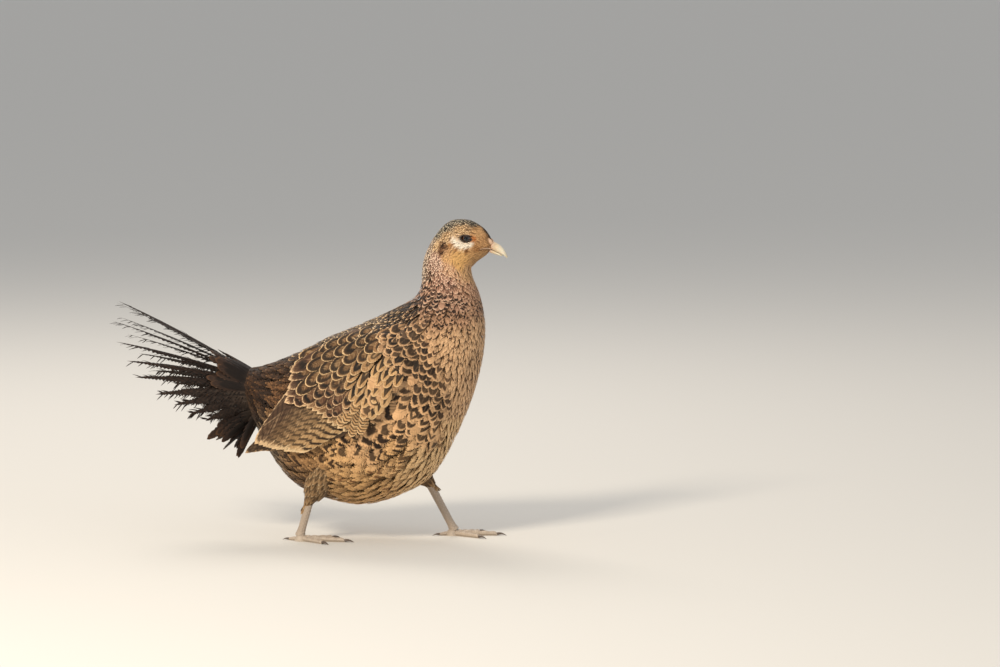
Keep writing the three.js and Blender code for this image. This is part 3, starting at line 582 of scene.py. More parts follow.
for side, leg in LEGS.items():
    angle = circle(28)
    parts = [tube(shank_hoops(leg))]
    t = np.linspace(0, 1, 12)[:, None]
    dome = HEEL["radius"] * np.sqrt(np.maximum(1 - (t * 0.99) ** 1.8, 0.02))
    heel = np.stack([
        leg["foot"][0] + dome * np.cos(angle), leg["foot"][1] + dome * np.sin(angle),
        HEEL["high"] * t * np.ones_like(angle),
    ], -1)
    parts.append(tube(heel))
    for toe in TOES.values():
        start, ahead_toe = toe_line(leg, side, toe)
        t = np.linspace(0, 1, 70)[:, None]
        pads = 1 + 0.06 * np.cos(2 * np.pi * (t * 5 * toe["length"] / 38 + 0.5))
        size = toe["wide"] * (1 - 0.32 * t) * pads * np.sqrt(np.minimum(1, (1.06 - t) * 9))
        over = np.maximum(np.sin(angle), 0) ** 0.5
        ridge = 0.22 * (np.mod(t * toe["length"] / 2.3, 1) ** 0.7 - 0.5) * over
        parts.append(tube(on_sole(start, ahead_toe, t * toe["length"] * np.ones_like(angle), size + ridge,
            size + ridge, angle)))
    new_form("leg_" + side, joined(parts), scale, "scale", "shank_" + side, "foot_" + side)
    parts = []
    for name, toe in TOES.items():
        start, ahead_toe = toe_line(leg, side, toe)
        size = 0.8 if name == "hind" else 1
        t = np.linspace(0, 1, 22)[:, None]
        taper = (1 - 0.9 * t**1.3) * size
        arch = 0.05 + 0.9 * np.sin(np.pi * t) * size
        along = toe["length"] - 0.6 + CLAW["length"] * size * t * np.ones_like(angle)
        parts.append(tube(on_sole(start, ahead_toe, along, CLAW["wide"] * taper, CLAW["high"] * taper, angle,
            arch)))
    nodes = [f"claw_{side}_{name}" for name in TOES]
    new_form("claws_" + side, joined(parts), claw_horn, "claw", *nodes)

# ---- The bill
# Two horny sheaths over bone. The upper one is arched and overhangs, with a soft flap over each
# nostril at its base. The lower one is shallower and closes inside it.

UPPER_BILL = np.array([
    (109.4, 273, 107.4, 266.2, 4.9),
    (113.2, 270.9, 111.9, 264.1, 4.4),
    (117.3, 268, 116.3, 261.8, 3.5),
    (120.5, 263.8, 119.7, 259.7, 2.3),
    (122.8, 258.8, 121.9, 257.5, 0.8),
])
LOWER_BILL = np.array([
    (107.2, 265.8, 106.5, 262.6, 4.4),
    (111.7, 263.7, 111.1, 261, 3.7),
    (115.4, 261.8, 114.9, 259.9, 2.6),
    (118.0, 260.3, 117.8, 259.4, 1.3),
])
NOSTRIL = (111.2, 269.6)
BILL_HOOPS, BILL_ROUND = 60, 48


def bill_hoops(rows, upper):
    """Hoops from the face to the tip: round over the ridge and nearly flat along the cutting edge."""
    s = np.linspace(0, len(rows) - 1, BILL_HOOPS)
    ridge_x, ridge_z, edge_x, edge_z, half = np.moveaxis(read_rows(rows, s), -1, 0)[..., None]
    turn = circle(BILL_ROUND)
    share = np.clip(0.5 + 0.62 * np.cos(turn), 0, 1.12) / 1.12
    up = share if upper else 1 - share
    x, z = edge_x + (ridge_x - edge_x) * up, edge_z + (ridge_z - edge_z) * up
    y = half * np.sin(turn) * np.ones_like(x)
    if upper:
        dx, dz = x - NOSTRIL[0], z - NOSTRIL[1]
        flap = 0.55 * np.exp(-((dx + 0.3) ** 2 + (dz - 0.5) ** 2) / 1.8)
        slit = 0.8 * np.exp(-((dx + 0.42 * dz) ** 2 / 1.8 + (dz + 0.42 * dx + 0.55) ** 2 / 0.12))
        y = y + np.sign(y) * (flap - slit) * np.minimum(np.abs(y) / 2, 1)
    return np.stack([x, y, z], -1)


# Bill horn: creamy and half clear like a fingernail, pinker and duller where it meets the skin.
bill_horn, tree = new_material("bill_horn")
spot = add(tree, "Attribute", attribute_name="from_face")
grain = add(tree, "TexNoise", {"Scale": 1 / (3 * MM), "Detail": 4})
tone = add(tree, "ValToRGB", {
    "Fac": spot.outputs["Fac"],
}, [(0, "#caa58d"), (0.22, "#d9c4a4"), (0.6, "#e6dcc3"), (1, "#c9bda3")])
shade = add(tree, "MapRange", {0: grain, 1: 0.3, 2: 0.7, 3: 0.88, 4: 1.04})
tint = add(tree, "MixRGB", {0: 1.0, 1: tone, 2: shade}, blend_type="MULTIPLY")
bump = add(tree, "Bump", {"Height": grain, "Strength": 0.15, "Distance": 0.2 * MM})
add(tree, "OutputMaterial", {
    "Surface": add(tree, "BsdfPrincipled", {
        "Base Color": tint, "Roughness": 0.36, "Subsurface Weight": 0.12,
        "Subsurface Radius": (0.002, 0.0012, 0.0008), "Normal": bump,
    }),
})

for name, rows, upper in (("bill_upper", UPPER_BILL, True), ("bill_lower", LOWER_BILL, False)):
    mesh = mesh_from(name, *tube(bill_hoops(rows, upper)))
    share = np.concatenate([np.repeat(np.linspace(0, 1, BILL_HOOPS), BILL_ROUND), [0, 1]])
    store(mesh, "from_face", share)
    new_piece("horn_" + name, mesh, bill_horn, "horn", name)

# ---- Eyes and lids
# Glass eyes as a model maker sets them: a dark brown iris dished round a black pupil under a clear
# cornea. A thin bare lid, beaded along its edge, holds each one.

EYE = {"radius": 5.0, "shows": 1.5, "iris": 4.0, "pupil": 2.4}
LIDS = {"front": 4.1, "back": 4.8, "tall": 2.9, "slope": 0.18}
# The lid's section, from its skirt under the feathers over its rim and back inside the socket: how
# many times the opening's size, and the height over the eye or the face.
LID_SECTION = [(1.7, -1.2), (1.4, -0.3), (1.2, 0.15), (1.08, 0.42), (1.01, 0.38), (0.98, 0.12), (0.97, -0.5),
    (1.2, -1.4), (1.6, -2.0)]


def trunk_side(x, z):
    """How far out the trunk's side is at x and z."""
    x, z = np.broadcast_arrays(np.asarray(x, float), np.asarray(z, float))
    low_s, high_s = np.zeros(x.shape), np.full(x.shape, float(LAST_HOOP))
    for _ in range(26):
        s = (low_s + high_s) / 2
        bx, bz, fx, fz, half, low = np.moveaxis(read_rows(TRUNK, s), -1, 0)
        ahead_of = (x - bx) * (bz - fz) - (z - bz) * (bx - fx) > 0
        low_s, high_s = np.where(ahead_of, s, low_s), np.where(ahead_of, high_s, s)
    ux, uz = bx - fx, bz - fz
    tall = np.hypot(ux, uz) / 2
    v = ((x - (bx + fx) / 2) * ux + (z - (bz + fz) / 2) * uz) / (2 * tall**2)
    k = np.maximum(low, 1e-4)
    c = (np.sqrt(np.maximum(1 + 4 * k * (k + v), 0)) - 1) / (2 * k)
    return half * np.sqrt(np.maximum(1 - c**2, 0)) ** FULLNESS


eye_middle = float(trunk_side(EYE_X, EYE_Z)) + FACE[0][3] + EYE["shows"] - EYE["radius"]
EYE_ROWS, EYE_ROUND = 16, 48

# Painted iris behind glass: almost black at the pupil, warm brown towards its rim.
iris, tree = new_material("painted_iris")
spot = add(tree, "Attribute", attribute_name="from_pupil")
grain = add(tree, "TexNoise", {"Scale": 1 / (0.5 * MM), "Detail": 3})
soft = add(tree, "Math",
    {0: spot.outputs["Fac"], 1: add(tree, "Math", {0: grain, 1: 0.12}, operation="MULTIPLY")},
    operation="ADD")
tone = add(tree, "ValToRGB", {
    "Fac": soft,
}, [(0, "#030202"), (0.56, "#040303"), (0.64, "#3d2213"), (0.82, "#5e3a20"), (1, "#1a0e07")])
add(tree, "OutputMaterial", {
    "Surface": add(tree, "BsdfPrincipled", {"Base Color": tone, "Roughness": 0.5, "Specular IOR Level": 0.0}),
})

# Clear glass cornea: what shows is a sharp highlight and a little magnifying.
cornea, tree = new_material("clear_glass_cornea")
add(tree, "OutputMaterial", {
    "Surface": add(tree, "BsdfPrincipled", {
        "Base Color": (1, 1, 1, 1), "Roughness": 0.02, "IOR": 1.4, "Transmission Weight": 1.0,
    }),
})

# Bare lid skin: thin, matt, dark grey-brown along the eye.
lid_skin, tree = new_material("bare_lid_skin")
grain = add(tree, "TexNoise", {"Scale": 1 / (0.8 * MM), "Detail": 3})
tone = add(tree, "ValToRGB", {"Fac": grain}, [(0, "#20150f"), (1, "#4d3a2c")])
add(tree, "OutputMaterial", {"Surface": add(tree, "BsdfPrincipled", {"Base Color": tone, "Roughness": 0.55})})


def turned_form(rows, side):
    """A form turned about the eye's axis: rows of distance from the axis and place along it."""
    turn = circle(EYE_ROUND)
    r, out = np.array(rows, float).T[..., None]
    x, z = EYE_X + r * np.cos(turn), EYE_Z + r * np.sin(turn)
    return tube(np.stack([x, (side * (eye_middle + out)) * np.ones_like(x), z], -1))


for name, side in SIDES.items():
    iris_at = math.sqrt(EYE["radius"] ** 2 - EYE["iris"] ** 2) - 0.15
    rows = [(r, iris_at - 0.5 * (1 - r / EYE["iris"])) for r in np.linspace(0.02, EYE["iris"], EYE_ROWS)]
    bend = np.linspace(math.acos(iris_at / EYE["radius"]), math.pi - 0.01, EYE_ROWS)[1:]
    rows += [(EYE["radius"] * math.sin(b) * 0.97, EYE["radius"] * math.cos(b) * 0.97) for b in bend]
    mesh = mesh_from("iris_" + name, *turned_form(rows, side))
    share = [min(r / EYE["iris"], 1) if k < EYE_ROWS else 1 for k, (r, _) in enumerate(rows)]
    share = np.repeat(share, EYE_ROUND)
    store(mesh, "from_pupil", np.concatenate([share, [0, 1]]))
    new_piece("iris_" + name, mesh, iris, "eye", "eye_" + name)
    bend = np.linspace(0.01, 1.1, 24)
    rows = [(EYE["radius"] * math.sin(b), EYE["radius"] * math.cos(b)) for b in bend]
    rows += [(r * 0.97, z - 0.1 - 0.35 * (1 - r / 5.2)) for r, z in rows[::-1]]
    new_form("cornea_" + name, turned_form(rows, side), cornea, "eye", "eye_" + name)
    turn = circle(120)[:, None]
    size, over = np.array(LID_SECTION).T
    x = EYE_X + size * np.where(np.cos(turn) > 0, LIDS["front"], LIDS["back"]) * np.cos(turn)
    almond = size * LIDS["tall"] * np.sin(turn) * np.abs(np.sin(turn)) ** 0.25
    z = EYE_Z + almond - LIDS["slope"] * (x - EYE_X)
    r = np.hypot(x - EYE_X, z - EYE_Z)
    face = trunk_side(x, z) + FACE[0][3] * np.exp(-((r / FACE[0][2]) ** 2))
    ball = eye_middle + np.sqrt(np.maximum(EYE["radius"] ** 2 - r**2, 0))
    share = np.clip((1.32 - size) / 0.25, 0, 1)
    out = face + share * (np.maximum(ball,
        face - 0.3) - face) + over + 0.07 * np.sin(turn * 22) * (size < 1.1)
    ring = np.stack([x, side * out, z], -1)
    n, m = ring.shape[:2]
    faces = [
        (i * m + j, i * m + (j + 1) % m, (i + 1) % n * m + (j + 1) % m, (i + 1) % n * m + j)
        for i in range(n)
        for j in range(m)
    ]
    new_form("lids_" + name, (ring.reshape(-1, 3), faces), lid_skin, "face", "head")

# Bare pink skin at the bill: a wrinkled flap over each nostril and the fleshy line of the gape.
FLAP = {"middle": (107.4, 4.1, 272.9), "along": (0.62, 0.0, -0.78), "size": (3.4, 1.1, 1.8)}
GAPE = [(99.2, 266.1), (102, 266.9), (105, 266.8), (107.8, 266.3)]
pink_skin, tree = new_material("bare_bill_skin")
grain = add(tree, "TexNoise", {"Scale": 1 / (0.9 * MM), "Detail": 4})
tone = add(tree, "ValToRGB", {"Fac": grain}, [(0.3, "#a67b60"), (0.7, "#dec2a4")])
bump = add(tree, "Bump", {"Height": grain, "Strength": 0.4, "Distance": 0.2 * MM})
add(tree, "OutputMaterial", {
    "Surface": add(tree, "BsdfPrincipled", {
        "Base Color": tone, "Roughness": 0.5, "Subsurface Weight": 0.1,
        "Subsurface Radius": (0.002, 0.001, 0.0006), "Normal": bump,
    }),
})
for name, side in SIDES.items():
    lie, turn = np.linspace(0.05, np.pi - 0.05, 24)[:, None], circle(24)
    long, thick, wide = FLAP["size"]
    along = np.array(FLAP["along"])
    out = np.array([0.28, side * 0.95, 0.12])
    across = np.cross(along, out)
    wrinkle = 1 + 0.1 * np.sin(9 * lie)
    shape = np.cos(lie)[..., None] * long * along + np.sin(lie)[..., None] * (
        np.cos(turn)[:, None] * wide * across + (np.sin(turn) * thick * wrinkle)[..., None] * out
    )
    middle = np.array(FLAP["middle"]) * [1, side, 1]
    new_form("flap_" + name, tube(middle + shape), pink_skin, "face")
    x, z = read_rows(np.array(GAPE), np.linspace(0, len(GAPE) - 1, 30)).T
    line = np.stack([x, side * (trunk_side(x, z) + 0.25), z], -1)
    radius = 0.5 * np.sin(np.linspace(0.25, np.pi / 2, 30))[:, None, None]
    ring = np.stack([0 * turn, np.sin(turn) * side, np.cos(turn)], -1) * radius
    new_form("gape_" + name, tube(line[:, None] + ring), pink_skin, "face")

# ---- The tail
# Eighteen narrow, pointed flight feathers in nine pairs on a steep roof, with ragged barbs that
# hang from their shafts. Shorter coverts close over and under their roots.


def slopes(surface, p, q):
    """How a surface runs at a place: its two slopes and its normal."""
    e = 0.01
    dp = (surface(p + e, q) - surface(p - e, q)) / (2 * e)
    dq = (surface(p, q + e) - surface(p, q - e)) / (2 * e)
    out = np.cross(dp, dq)
    return dp, dq, out / np.maximum(np.linalg.norm(out, axis=-1, keepdims=True), 1e-9)


def on_slopes(dp, dq, move):
    """A move in space as a move of the two numbers that name a place on the surface."""
    a, b, c = (dp * dp).sum(-1), (dp * dq).sum(-1), (dq * dq).sum(-1)
    m, n = (dp * move).sum(-1), (dq * move).sum(-1)
    det = np.maximum(a * c - b * b, 1e-9)
    return (c * m - b * n) / det, (a * n - b * m) / det


TRIES, ROUNDS = 60000, 18


def scatter(surface, p_span, q_span, gap_at, wanted=None):
    """Roots spread evenly over a surface, as far apart as gap_at asks for at each place.

    They are drawn from many tries, and then push each other apart for some rounds.
    """
    p = dice.uniform(*p_span, TRIES)
    q = dice.uniform(*q_span, TRIES)
    dp, dq, _ = slopes(surface, p, q)
    area = np.linalg.norm(np.cross(dp, dq), axis=-1)
    weight = area / gap_at(surface(p, q)) ** 2
    if wanted is not None:
        weight *= wanted(p, q)
    span = (p_span[1] - p_span[0]) * (q_span[1] - q_span[0])
    count = int(weight.mean() * span * 1.15)
    chosen = dice.choice(len(p), count, replace=False, p=weight / weight.sum())
    p, q = p[chosen], q[chosen]
    for _ in range(ROUNDS):
        at = surface(p, q)
        gap = gap_at(at)
        tree = KDTree(count)
        for i, spot in enumerate(at):
            tree.insert(spot, i)
        tree.balance()
        near = np.array([[n for _, n, _ in tree.find_n(spot, 7)] for spot in at])[:, 1:]
        away = at[:, None] - at[near]
        far = np.maximum(np.linalg.norm(away, axis=-1, keepdims=True), 1e-6)
        push = np.maximum(1.12 - far / gap[:, None, None], 0) * away / far
        dp, dq, _ = slopes(surface, p, q)
        step_p, step_q = on_slopes(dp, dq, push.sum(1) * gap[:, None] * 0.3)
        p = np.clip(p + step_p, *p_span)
        q = q + step_q
        if wanted is None or q_span[1] - q_span[0] > 6.2:
            q = np.mod(q - q_span[0], q_span[1] - q_span[0]) + q_span[0]
        else:
            q = np.clip(q, *q_span)
    return p, q


def vane(rows, columns, notch, quill=0.2, widest=0.55, sweep=0.3, point=0.5):
    """A feather laid flat: points across from -1 to 1 and along from 0 to 1, and its triangles.

    Barbs sweep forward from the shaft to a rim that is notched between them. A second layer of
    triangles closes the feather from below, and its shaft row hangs a little lower.
    """
    base = np.linspace(0.04, 0.95, rows)
    tip = base + sweep * (1 - base) * np.minimum(1, base * 4)
    half = np.where(
        tip < widest,
        quill + (1 - quill) * np.sin(np.pi / 2 * np.minimum(tip / widest, 1)) ** 0.8,
        np.maximum(1 - (np.maximum(tip - widest, 0) / (1 - widest)) ** 2.2, 0) ** point,
    )
    half = half * (1 - notch * np.where(np.arange(rows) % 2, dice.uniform(0.5, 1, rows),
        dice.uniform(0, 0.35, rows)))
    part = np.linspace(0, 1, columns + 1)[1:]
    spread = np.concatenate([-part[::-1], [0], part])
    wide = 2 * columns + 1
    u = spread[None, :] * half[:, None]
    v = base[:, None] + (tip - base)[:, None] * np.abs(spread)[None, :] ** 1.4
    above = np.stack([u, v], -1).reshape(-1, 2)
    below = np.stack([u[:, [0, columns, -1]], v[:, [0, columns, -1]]], -1).reshape(-1, 2)
    n = rows * wide
    points = np.concatenate([above, [[0, 0], [0, 1]], below, [[0, 0], [0, 1]]])
    drop = np.zeros(len(points))
    drop[n + 2 + 1 : n + 2 + 3 * rows : 3] = 1
    faces = []
    layers = ((0, wide, n, n + 1, 1), (n + 2, 3, n + 2 + 3 * rows, n + 3 + 3 * rows, -1))
    for first, w, root, end, flip in layers:
        for k in range(w - 1):
            faces.append((root, first + k + 1, first + k)[::flip])
            last = first + (rows - 1) * w + k
            faces.append((last, last + 1, end)[::flip])
            for i in range(rows - 1):
                a = first + i * w + k
                faces.append((a, a + 1, a + w + 1)[::flip])
                faces.append((a, a + w + 1, a + w)[::flip])
    return points, drop, np.array(faces)


def lay(
    surface, p, q, heading, form, long, wide, low, high,
    yaw=0.0, cup=0.1, out=1, thick=0.15, roll=0.0, rise=1.0, bend=0.0, lift=None,
):
    """Lays feathers on a surface: roots at p and q, shafts along heading, from height low to high.

    Gives the points of every feather, shaped (feather, point, 3). The yaw turns a feather from its
    heading and the bend curves its shaft, in radians. The cup bends the rims down as a share of the
    half width, the roll raises one rim over the other in millimetres, and a high rise lifts the
    shaft soon after its root. Lift adds a height that depends on the place.
    """
    flat, drop, _ = form
    n = len(p)
    long, wide, low, high, yaw, bend = (
        np.broadcast_to(k, n).astype(float) for k in (long, wide, low, high, yaw, bend)
    )
    heading = np.broadcast_to(heading, (n, 2))
    steps = 6
    path_p, path_q = [p], [q]
    for step in range(steps):
        dp, dq, normal = slopes(surface, path_p[-1], path_q[-1])
        turn = (yaw + bend * ((step + 0.5) / steps - 0.5))[:, None]
        along = dp * heading[:, :1] + dq * heading[:, 1:]
        along /= np.linalg.norm(along, axis=-1, keepdims=True)
        along = along * np.cos(turn) + np.cross(normal, along) * np.sin(turn)
        step_p, step_q = on_slopes(dp, dq, along * (long / steps)[:, None])
        path_p.append(path_p[-1] + step_p)
        path_q.append(path_q[-1] + step_q)
    path_p, path_q = np.array(path_p).T, np.array(path_q).T
    where = np.clip(flat[:, 1], 0, 1) * steps
    i = np.minimum(where.astype(int), steps - 1)
    t = where - i
    pp = path_p[:, i] * (1 - t) + path_p[:, i + 1] * t
    qq = path_q[:, i] * (1 - t) + path_q[:, i + 1] * t
    dp, dq, normal = slopes(surface, pp, qq)
    slope_p, slope_q = (path_p[:, i + 1] - path_p[:, i]), (path_q[:, i + 1] - path_q[:, i])
    along = dp * slope_p[..., None] + dq * slope_q[..., None]
    along /= np.maximum(np.linalg.norm(along, axis=-1, keepdims=True), 1e-9)
    across = np.cross(along, normal) * out
    reach = flat[:, 0] * wide[:, None] / 2
    step_p, step_q = on_slopes(dp, dq, across * reach[..., None])
    at = surface(pp + step_p, qq + step_q)
    normal = slopes(surface, pp + step_p, qq + step_q)[2] * out
    v = flat[:, 1]
    height = low[:, None] + (high - low)[:, None] * (1 - (1 - v) ** rise)
    height = height - cup * np.abs(reach) ** 2 / (wide[:, None] / 2) - drop * thick
    height = height + roll * flat[:, 0]
    if lift is not None:
        height = height + lift(at)
    return at + normal * height[..., None]


PATCH = 0.003  # size of a feather's patch on the map for baking


def feathers(name, points, form, tints, shapes, spots, slot, *nodes):
    """Joins feathers into one mesh with their colours, their own flat map, and the map for baking."""
    chance = dice.random(len(points))
    flat, _, faces = form
    n, m = points.shape[:2]
    mesh = bpy.data.meshes.new(name)
    mesh.vertices.add(n * m)
    mesh.vertices.foreach_set("co", in_frame(points).astype(np.float32).ravel())
    loops = (faces[None] + np.arange(n)[:, None, None] * m).ravel()
    mesh.loops.add(len(loops))
    mesh.loops.foreach_set("vertex_index", loops.astype(np.int32))
    mesh.polygons.add(len(loops) // 3)
    mesh.polygons.foreach_set("loop_start", np.arange(0, len(loops), 3, dtype=np.int32))
    mesh.polygons.foreach_set("use_smooth", np.ones(len(loops) // 3, bool))
    own = np.stack([flat[:, 0] / 2 + 0.5, flat[:, 1]], -1)
    maps = {"vane": np.tile(own, (n, 1)),
        "OFBake": (spots[:, None] * (1 - 2 * PATCH) + own * PATCH).reshape(-1, 2)}
    for key, values in maps.items():
        layer = mesh.uv_layers.new(name=key)
        layer.uv.foreach_set("vector", values[loops].astype(np.float32).ravel())
    value = dict(zip(SHAPE, shapes.T))
    arm = np.where(dice.random(n) < value["one_arm"], dice.choice([0, 1], n), 0.5)
    extra = {
        "ground": (tints[:, 0], value["core"]),
        "mark": (tints[:, 1], value["core_dark"]),
        "edge": (tints[:, 2], value["edge"]),
        "arrow": (np.stack([value["arrow"], value["arrow_at"], value["arrow_half"]], -1),
        value["arrow_slant"]),
        "finish": (np.stack([value["bars"], value["bar_count"] / 20, value["shaft"]], -1), chance),
        "inner": (np.stack([value["hollow"], value["streak"], arm], -1), chance),
    }
    for key, (rgb, alpha) in extra.items():
        values = np.repeat(np.concatenate([rgb, alpha[:, None]], 1), m, 0)
        store(mesh, key, values)
    mesh.update(calc_edges=True)
    new_piece(name, mesh, plumage, slot, *nodes)


# Feather keratin: dull across the barbs with a faint silky sheen. The barbs are spaced by the
# feather's length, about fifteen to each, far fewer and coarser than real ones, so that they show.
plumage, tree = new_material("feather_keratin")
ground, mark, edge, arrow, finish, inner = (
    add(tree, "Attribute", attribute_name=key) for key in ("ground", "mark", "edge", "arrow", "finish",
    "inner")
)
arrow_parts, finish_parts, inner_parts = (
    add(tree, "SeparateColor", {0: part.outputs["Color"]}) for part in (arrow, finish, inner)
)
place = add(tree, "SeparateXYZ", {0: add(tree, "UVMap", uv_map="vane")})
BARB_TURN = 95  # radians over a feather's length
BAR_TURN = 125.7  # the same for twenty bars
v = place.outputs["Y"]
u = add(tree, "Math", [
    add(tree, "Math", [place.outputs["X"], 0.5], operation="SUBTRACT"), 2,
], operation="MULTIPLY")
side_u = add(tree, "Math", [u], operation="ABSOLUTE")
barb_v = add(tree, "Math", [side_u, -0.32, v], operation="MULTIPLY_ADD")
chance = finish.outputs["Alpha"]
fleck = add(tree, "TexNoise", {"Scale": 1 / (2.2 * MM), "Detail": 3})
barb_place = add(tree, "CombineXYZ", {
    0: add(tree, "Math", [barb_v, 24], operation="MULTIPLY"),
    1: add(tree, "Math", [
        u, 0.7, add(tree, "Math", [chance, 53], operation="MULTIPLY"),
    ], operation="MULTIPLY_ADD"),
    2: add(tree, "Math", [chance, 97], operation="MULTIPLY"),
})
streak = add(tree, "Math", [
    add(tree, "TexNoise", {"Vector": barb_place, "Scale": 1.0, "Detail": 3, "Roughness": 0.7}), 0.5,
], operation="SUBTRACT")
wobble = add(tree, "Math", [
    add(tree, "Math", [fleck, 0.5], operation="SUBTRACT"), 0.3,
    add(tree, "Math", [streak, 0.5], operation="MULTIPLY"),
], operation="MULTIPLY_ADD")
# Distance from the middle of the feather: 1 at the rim of its rounded end.
end_v = add(tree, "Math", [
    add(tree, "Math", [add(tree, "Math", [v, 0.55], operation="SUBTRACT"), 0.45], operation="DIVIDE"), 0,
], operation="MAXIMUM")
rim = add(tree, "Math", [
    add(tree, "Math", [
        add(tree, "Math", [side_u, side_u], operation="MULTIPLY"),
        add(tree, "Math", [end_v, end_v], operation="MULTIPLY"),
    ], operation="ADD"),
], operation="SQRT")
rim_soft = add(tree, "Math", [wobble, 0.7, rim], operation="MULTIPLY_ADD")

# A smooth range gives its fourth number where the first has reached the second, and its fifth where the
# first has reached the third.
core = add(tree, "MapRange", [
    rim_soft, add(tree, "Math", [ground.outputs["Alpha"], 0.08], operation="ADD"),
    add(tree, "Math", [ground.outputs["Alpha"], 0.1], operation="SUBTRACT"), 0, 1,
], interpolation_type="SMOOTHSTEP")
hollow = add(tree, "MapRange", [
    rim_soft, add(tree, "Math", [inner_parts.outputs["Red"], 0.14], operation="ADD"),
    add(tree, "Math", [inner_parts.outputs["Red"], 0.12], operation="SUBTRACT"), 0, 1,
], interpolation_type="SMOOTHSTEP")
core = add(tree, "Math", [
    add(tree, "Math", [
        core,
        add(tree, "Math", [1, add(tree, "Math", [hollow, 0.75], operation="MULTIPLY")], operation="SUBTRACT"),
    ], operation="MULTIPLY"),
    mark.outputs["Alpha"],
], operation="MULTIPLY")
along = add(tree, "Math", [
    add(tree, "Math", [side_u, arrow.outputs["Alpha"], v], operation="MULTIPLY_ADD"),
    arrow_parts.outputs["Green"],
], operation="SUBTRACT")
along = add(tree, "Math", [
    add(tree, "Math", [wobble, 0.45, along], operation="MULTIPLY_ADD"),
], operation="ABSOLUTE")
half = arrow_parts.outputs["Blue"]
head = add(tree, "MapRange", [
    along, add(tree, "Math", [half, 0.03], operation="ADD"),
    add(tree, "Math", [half, 0.035], operation="SUBTRACT"), 0, 1,
], interpolation_type="SMOOTHSTEP")
lean = add(tree, "Math", [
    u, add(tree, "Math", [inner_parts.outputs["Blue"], 2, -1], operation="MULTIPLY_ADD"),
], operation="MULTIPLY")
head = add(tree, "Math", [
    head, add(tree, "MapRange", [lean, -0.3, -0.05, 0, 1], interpolation_type="SMOOTHSTEP"),
], operation="MULTIPLY")
head = add(tree, "Math", [
    add(tree, "Math", [
        head, add(tree, "MapRange", [rim_soft, 0.88, 0.68, 0, 1], interpolation_type="SMOOTHSTEP"),
    ], operation="MULTIPLY"),
    arrow_parts.outputs["Red"],
], operation="MULTIPLY")
shaft = add(tree, "Math", [
    add(tree, "MapRange", [side_u, 0.15, 0.03, 0, 1], interpolation_type="SMOOTHSTEP"),
    finish_parts.outputs["Blue"],
], operation="MULTIPLY")
head = add(tree, "Math", [head, add(tree, "Math", [1, shaft], operation="SUBTRACT")], operation="MULTIPLY")
bar_phase = add(tree, "Math", [
    add(tree, "Math", [side_u, 0.12, v], operation="MULTIPLY_ADD"),
    add(tree, "Math", [finish_parts.outputs["Green"], BAR_TURN], operation="MULTIPLY"),
], operation="MULTIPLY")
bar = add(tree, "Math", [
    add(tree, "Math", [wobble, 7, bar_phase], operation="MULTIPLY_ADD"),
], operation="SINE")
bar = add(tree, "Math", [
    add(tree, "MapRange", [bar, -0.1, 0.6, 0, 1], interpolation_type="SMOOTHSTEP"),
    finish_parts.outputs["Red"],
], operation="MULTIPLY")
edge_light = add(tree, "MapRange", [
    rim_soft, add(tree, "Math", [0.96, edge.outputs["Alpha"]], operation="SUBTRACT"),
    add(tree, "Math", [1.03, edge.outputs["Alpha"]], operation="SUBTRACT"), 0, 0.9,
], interpolation_type="SMOOTHSTEP")

colour = add(tree, "MixRGB", [
    add(tree, "Math", [
        add(tree, "MapRange", [streak, -0.05, 0.14, 0, 1], interpolation_type="SMOOTHSTEP"),
        add(tree, "Math", [inner_parts.outputs["Green"], 0.4], operation="MULTIPLY"),
    ], operation="MULTIPLY"),
    ground, mark,
])
colour = add(tree, "MixRGB", [
    add(tree, "Math", [
        add(tree, "MapRange", [streak, 0.02, -0.16, 0, 1], interpolation_type="SMOOTHSTEP"),
        add(tree, "Math", [inner_parts.outputs["Green"], 0.5], operation="MULTIPLY"),
    ], operation="MULTIPLY"),
    colour, edge,
])
for share, tint in ((bar, mark), (core, mark), (head, mark), (edge_light, edge)):
    colour = add(tree, "MixRGB", [share, colour, tint])
colour = add(tree, "MixRGB", [
    add(tree, "Math", [
        add(tree, "MapRange", [v, 0.4, 0.05, 0, 1], interpolation_type="SMOOTHSTEP"), 0.5,
    ], operation="MULTIPLY"),
    colour, rgba("#54463a"),
])
barb = add(tree, "Math", [add(tree, "Math", [barb_v, BARB_TURN], operation="MULTIPLY")], operation="SINE")
tone = add(tree, "Math", [
    barb, 0.05, add(tree, "Math", [chance, 0.22, 0.86], operation="MULTIPLY_ADD"),
], operation="MULTIPLY_ADD")
# Painted shade: each feather is a fifth darker over its root half, fading out towards its tip, where the
# feather over it would shade it.
tone = add(tree, "Math", [
    tone,
    add(tree, "Math", [
        add(tree, "MapRange", [v, 0.85, 0.45, 0, 1], interpolation_type="SMOOTHSTEP"), -0.2, 1,
    ], operation="MULTIPLY_ADD"),
], operation="MULTIPLY")
colour = add(tree, "MixRGB", {0: 1.0, 1: colour, 2: tone}, blend_type="MULTIPLY")
bump = add(tree, "Bump", {
    "Height": add(tree, "Math", [streak, 2.0, barb], operation="MULTIPLY_ADD"), "Strength": 0.3,
    "Distance": 0.12 * MM,
})
add(tree, "OutputMaterial", {
    "Surface": add(tree, "BsdfPrincipled", {
        "Base Color": colour, "Roughness": 0.62, "Specular IOR Level": 0.2, "Sheen Weight": 0.04,
        "Sheen Roughness": 0.5, "Normal": bump,
    }),
})

dice = np.random.default_rng(7)
TAIL = {
    "root": (-108, 132), "roof": (9, 15), "lift": 31.5, "drop": 5.6, "spread": 3.1, "droop": 9, "overlap": 20,
    "lengths": [146, 140, 130, 120, 108, 90, 74, 62, 50], "wide": 11, "barbs": 34,
}
SAG = 0.03  # how fast a blade falls away on both sides of its shaft


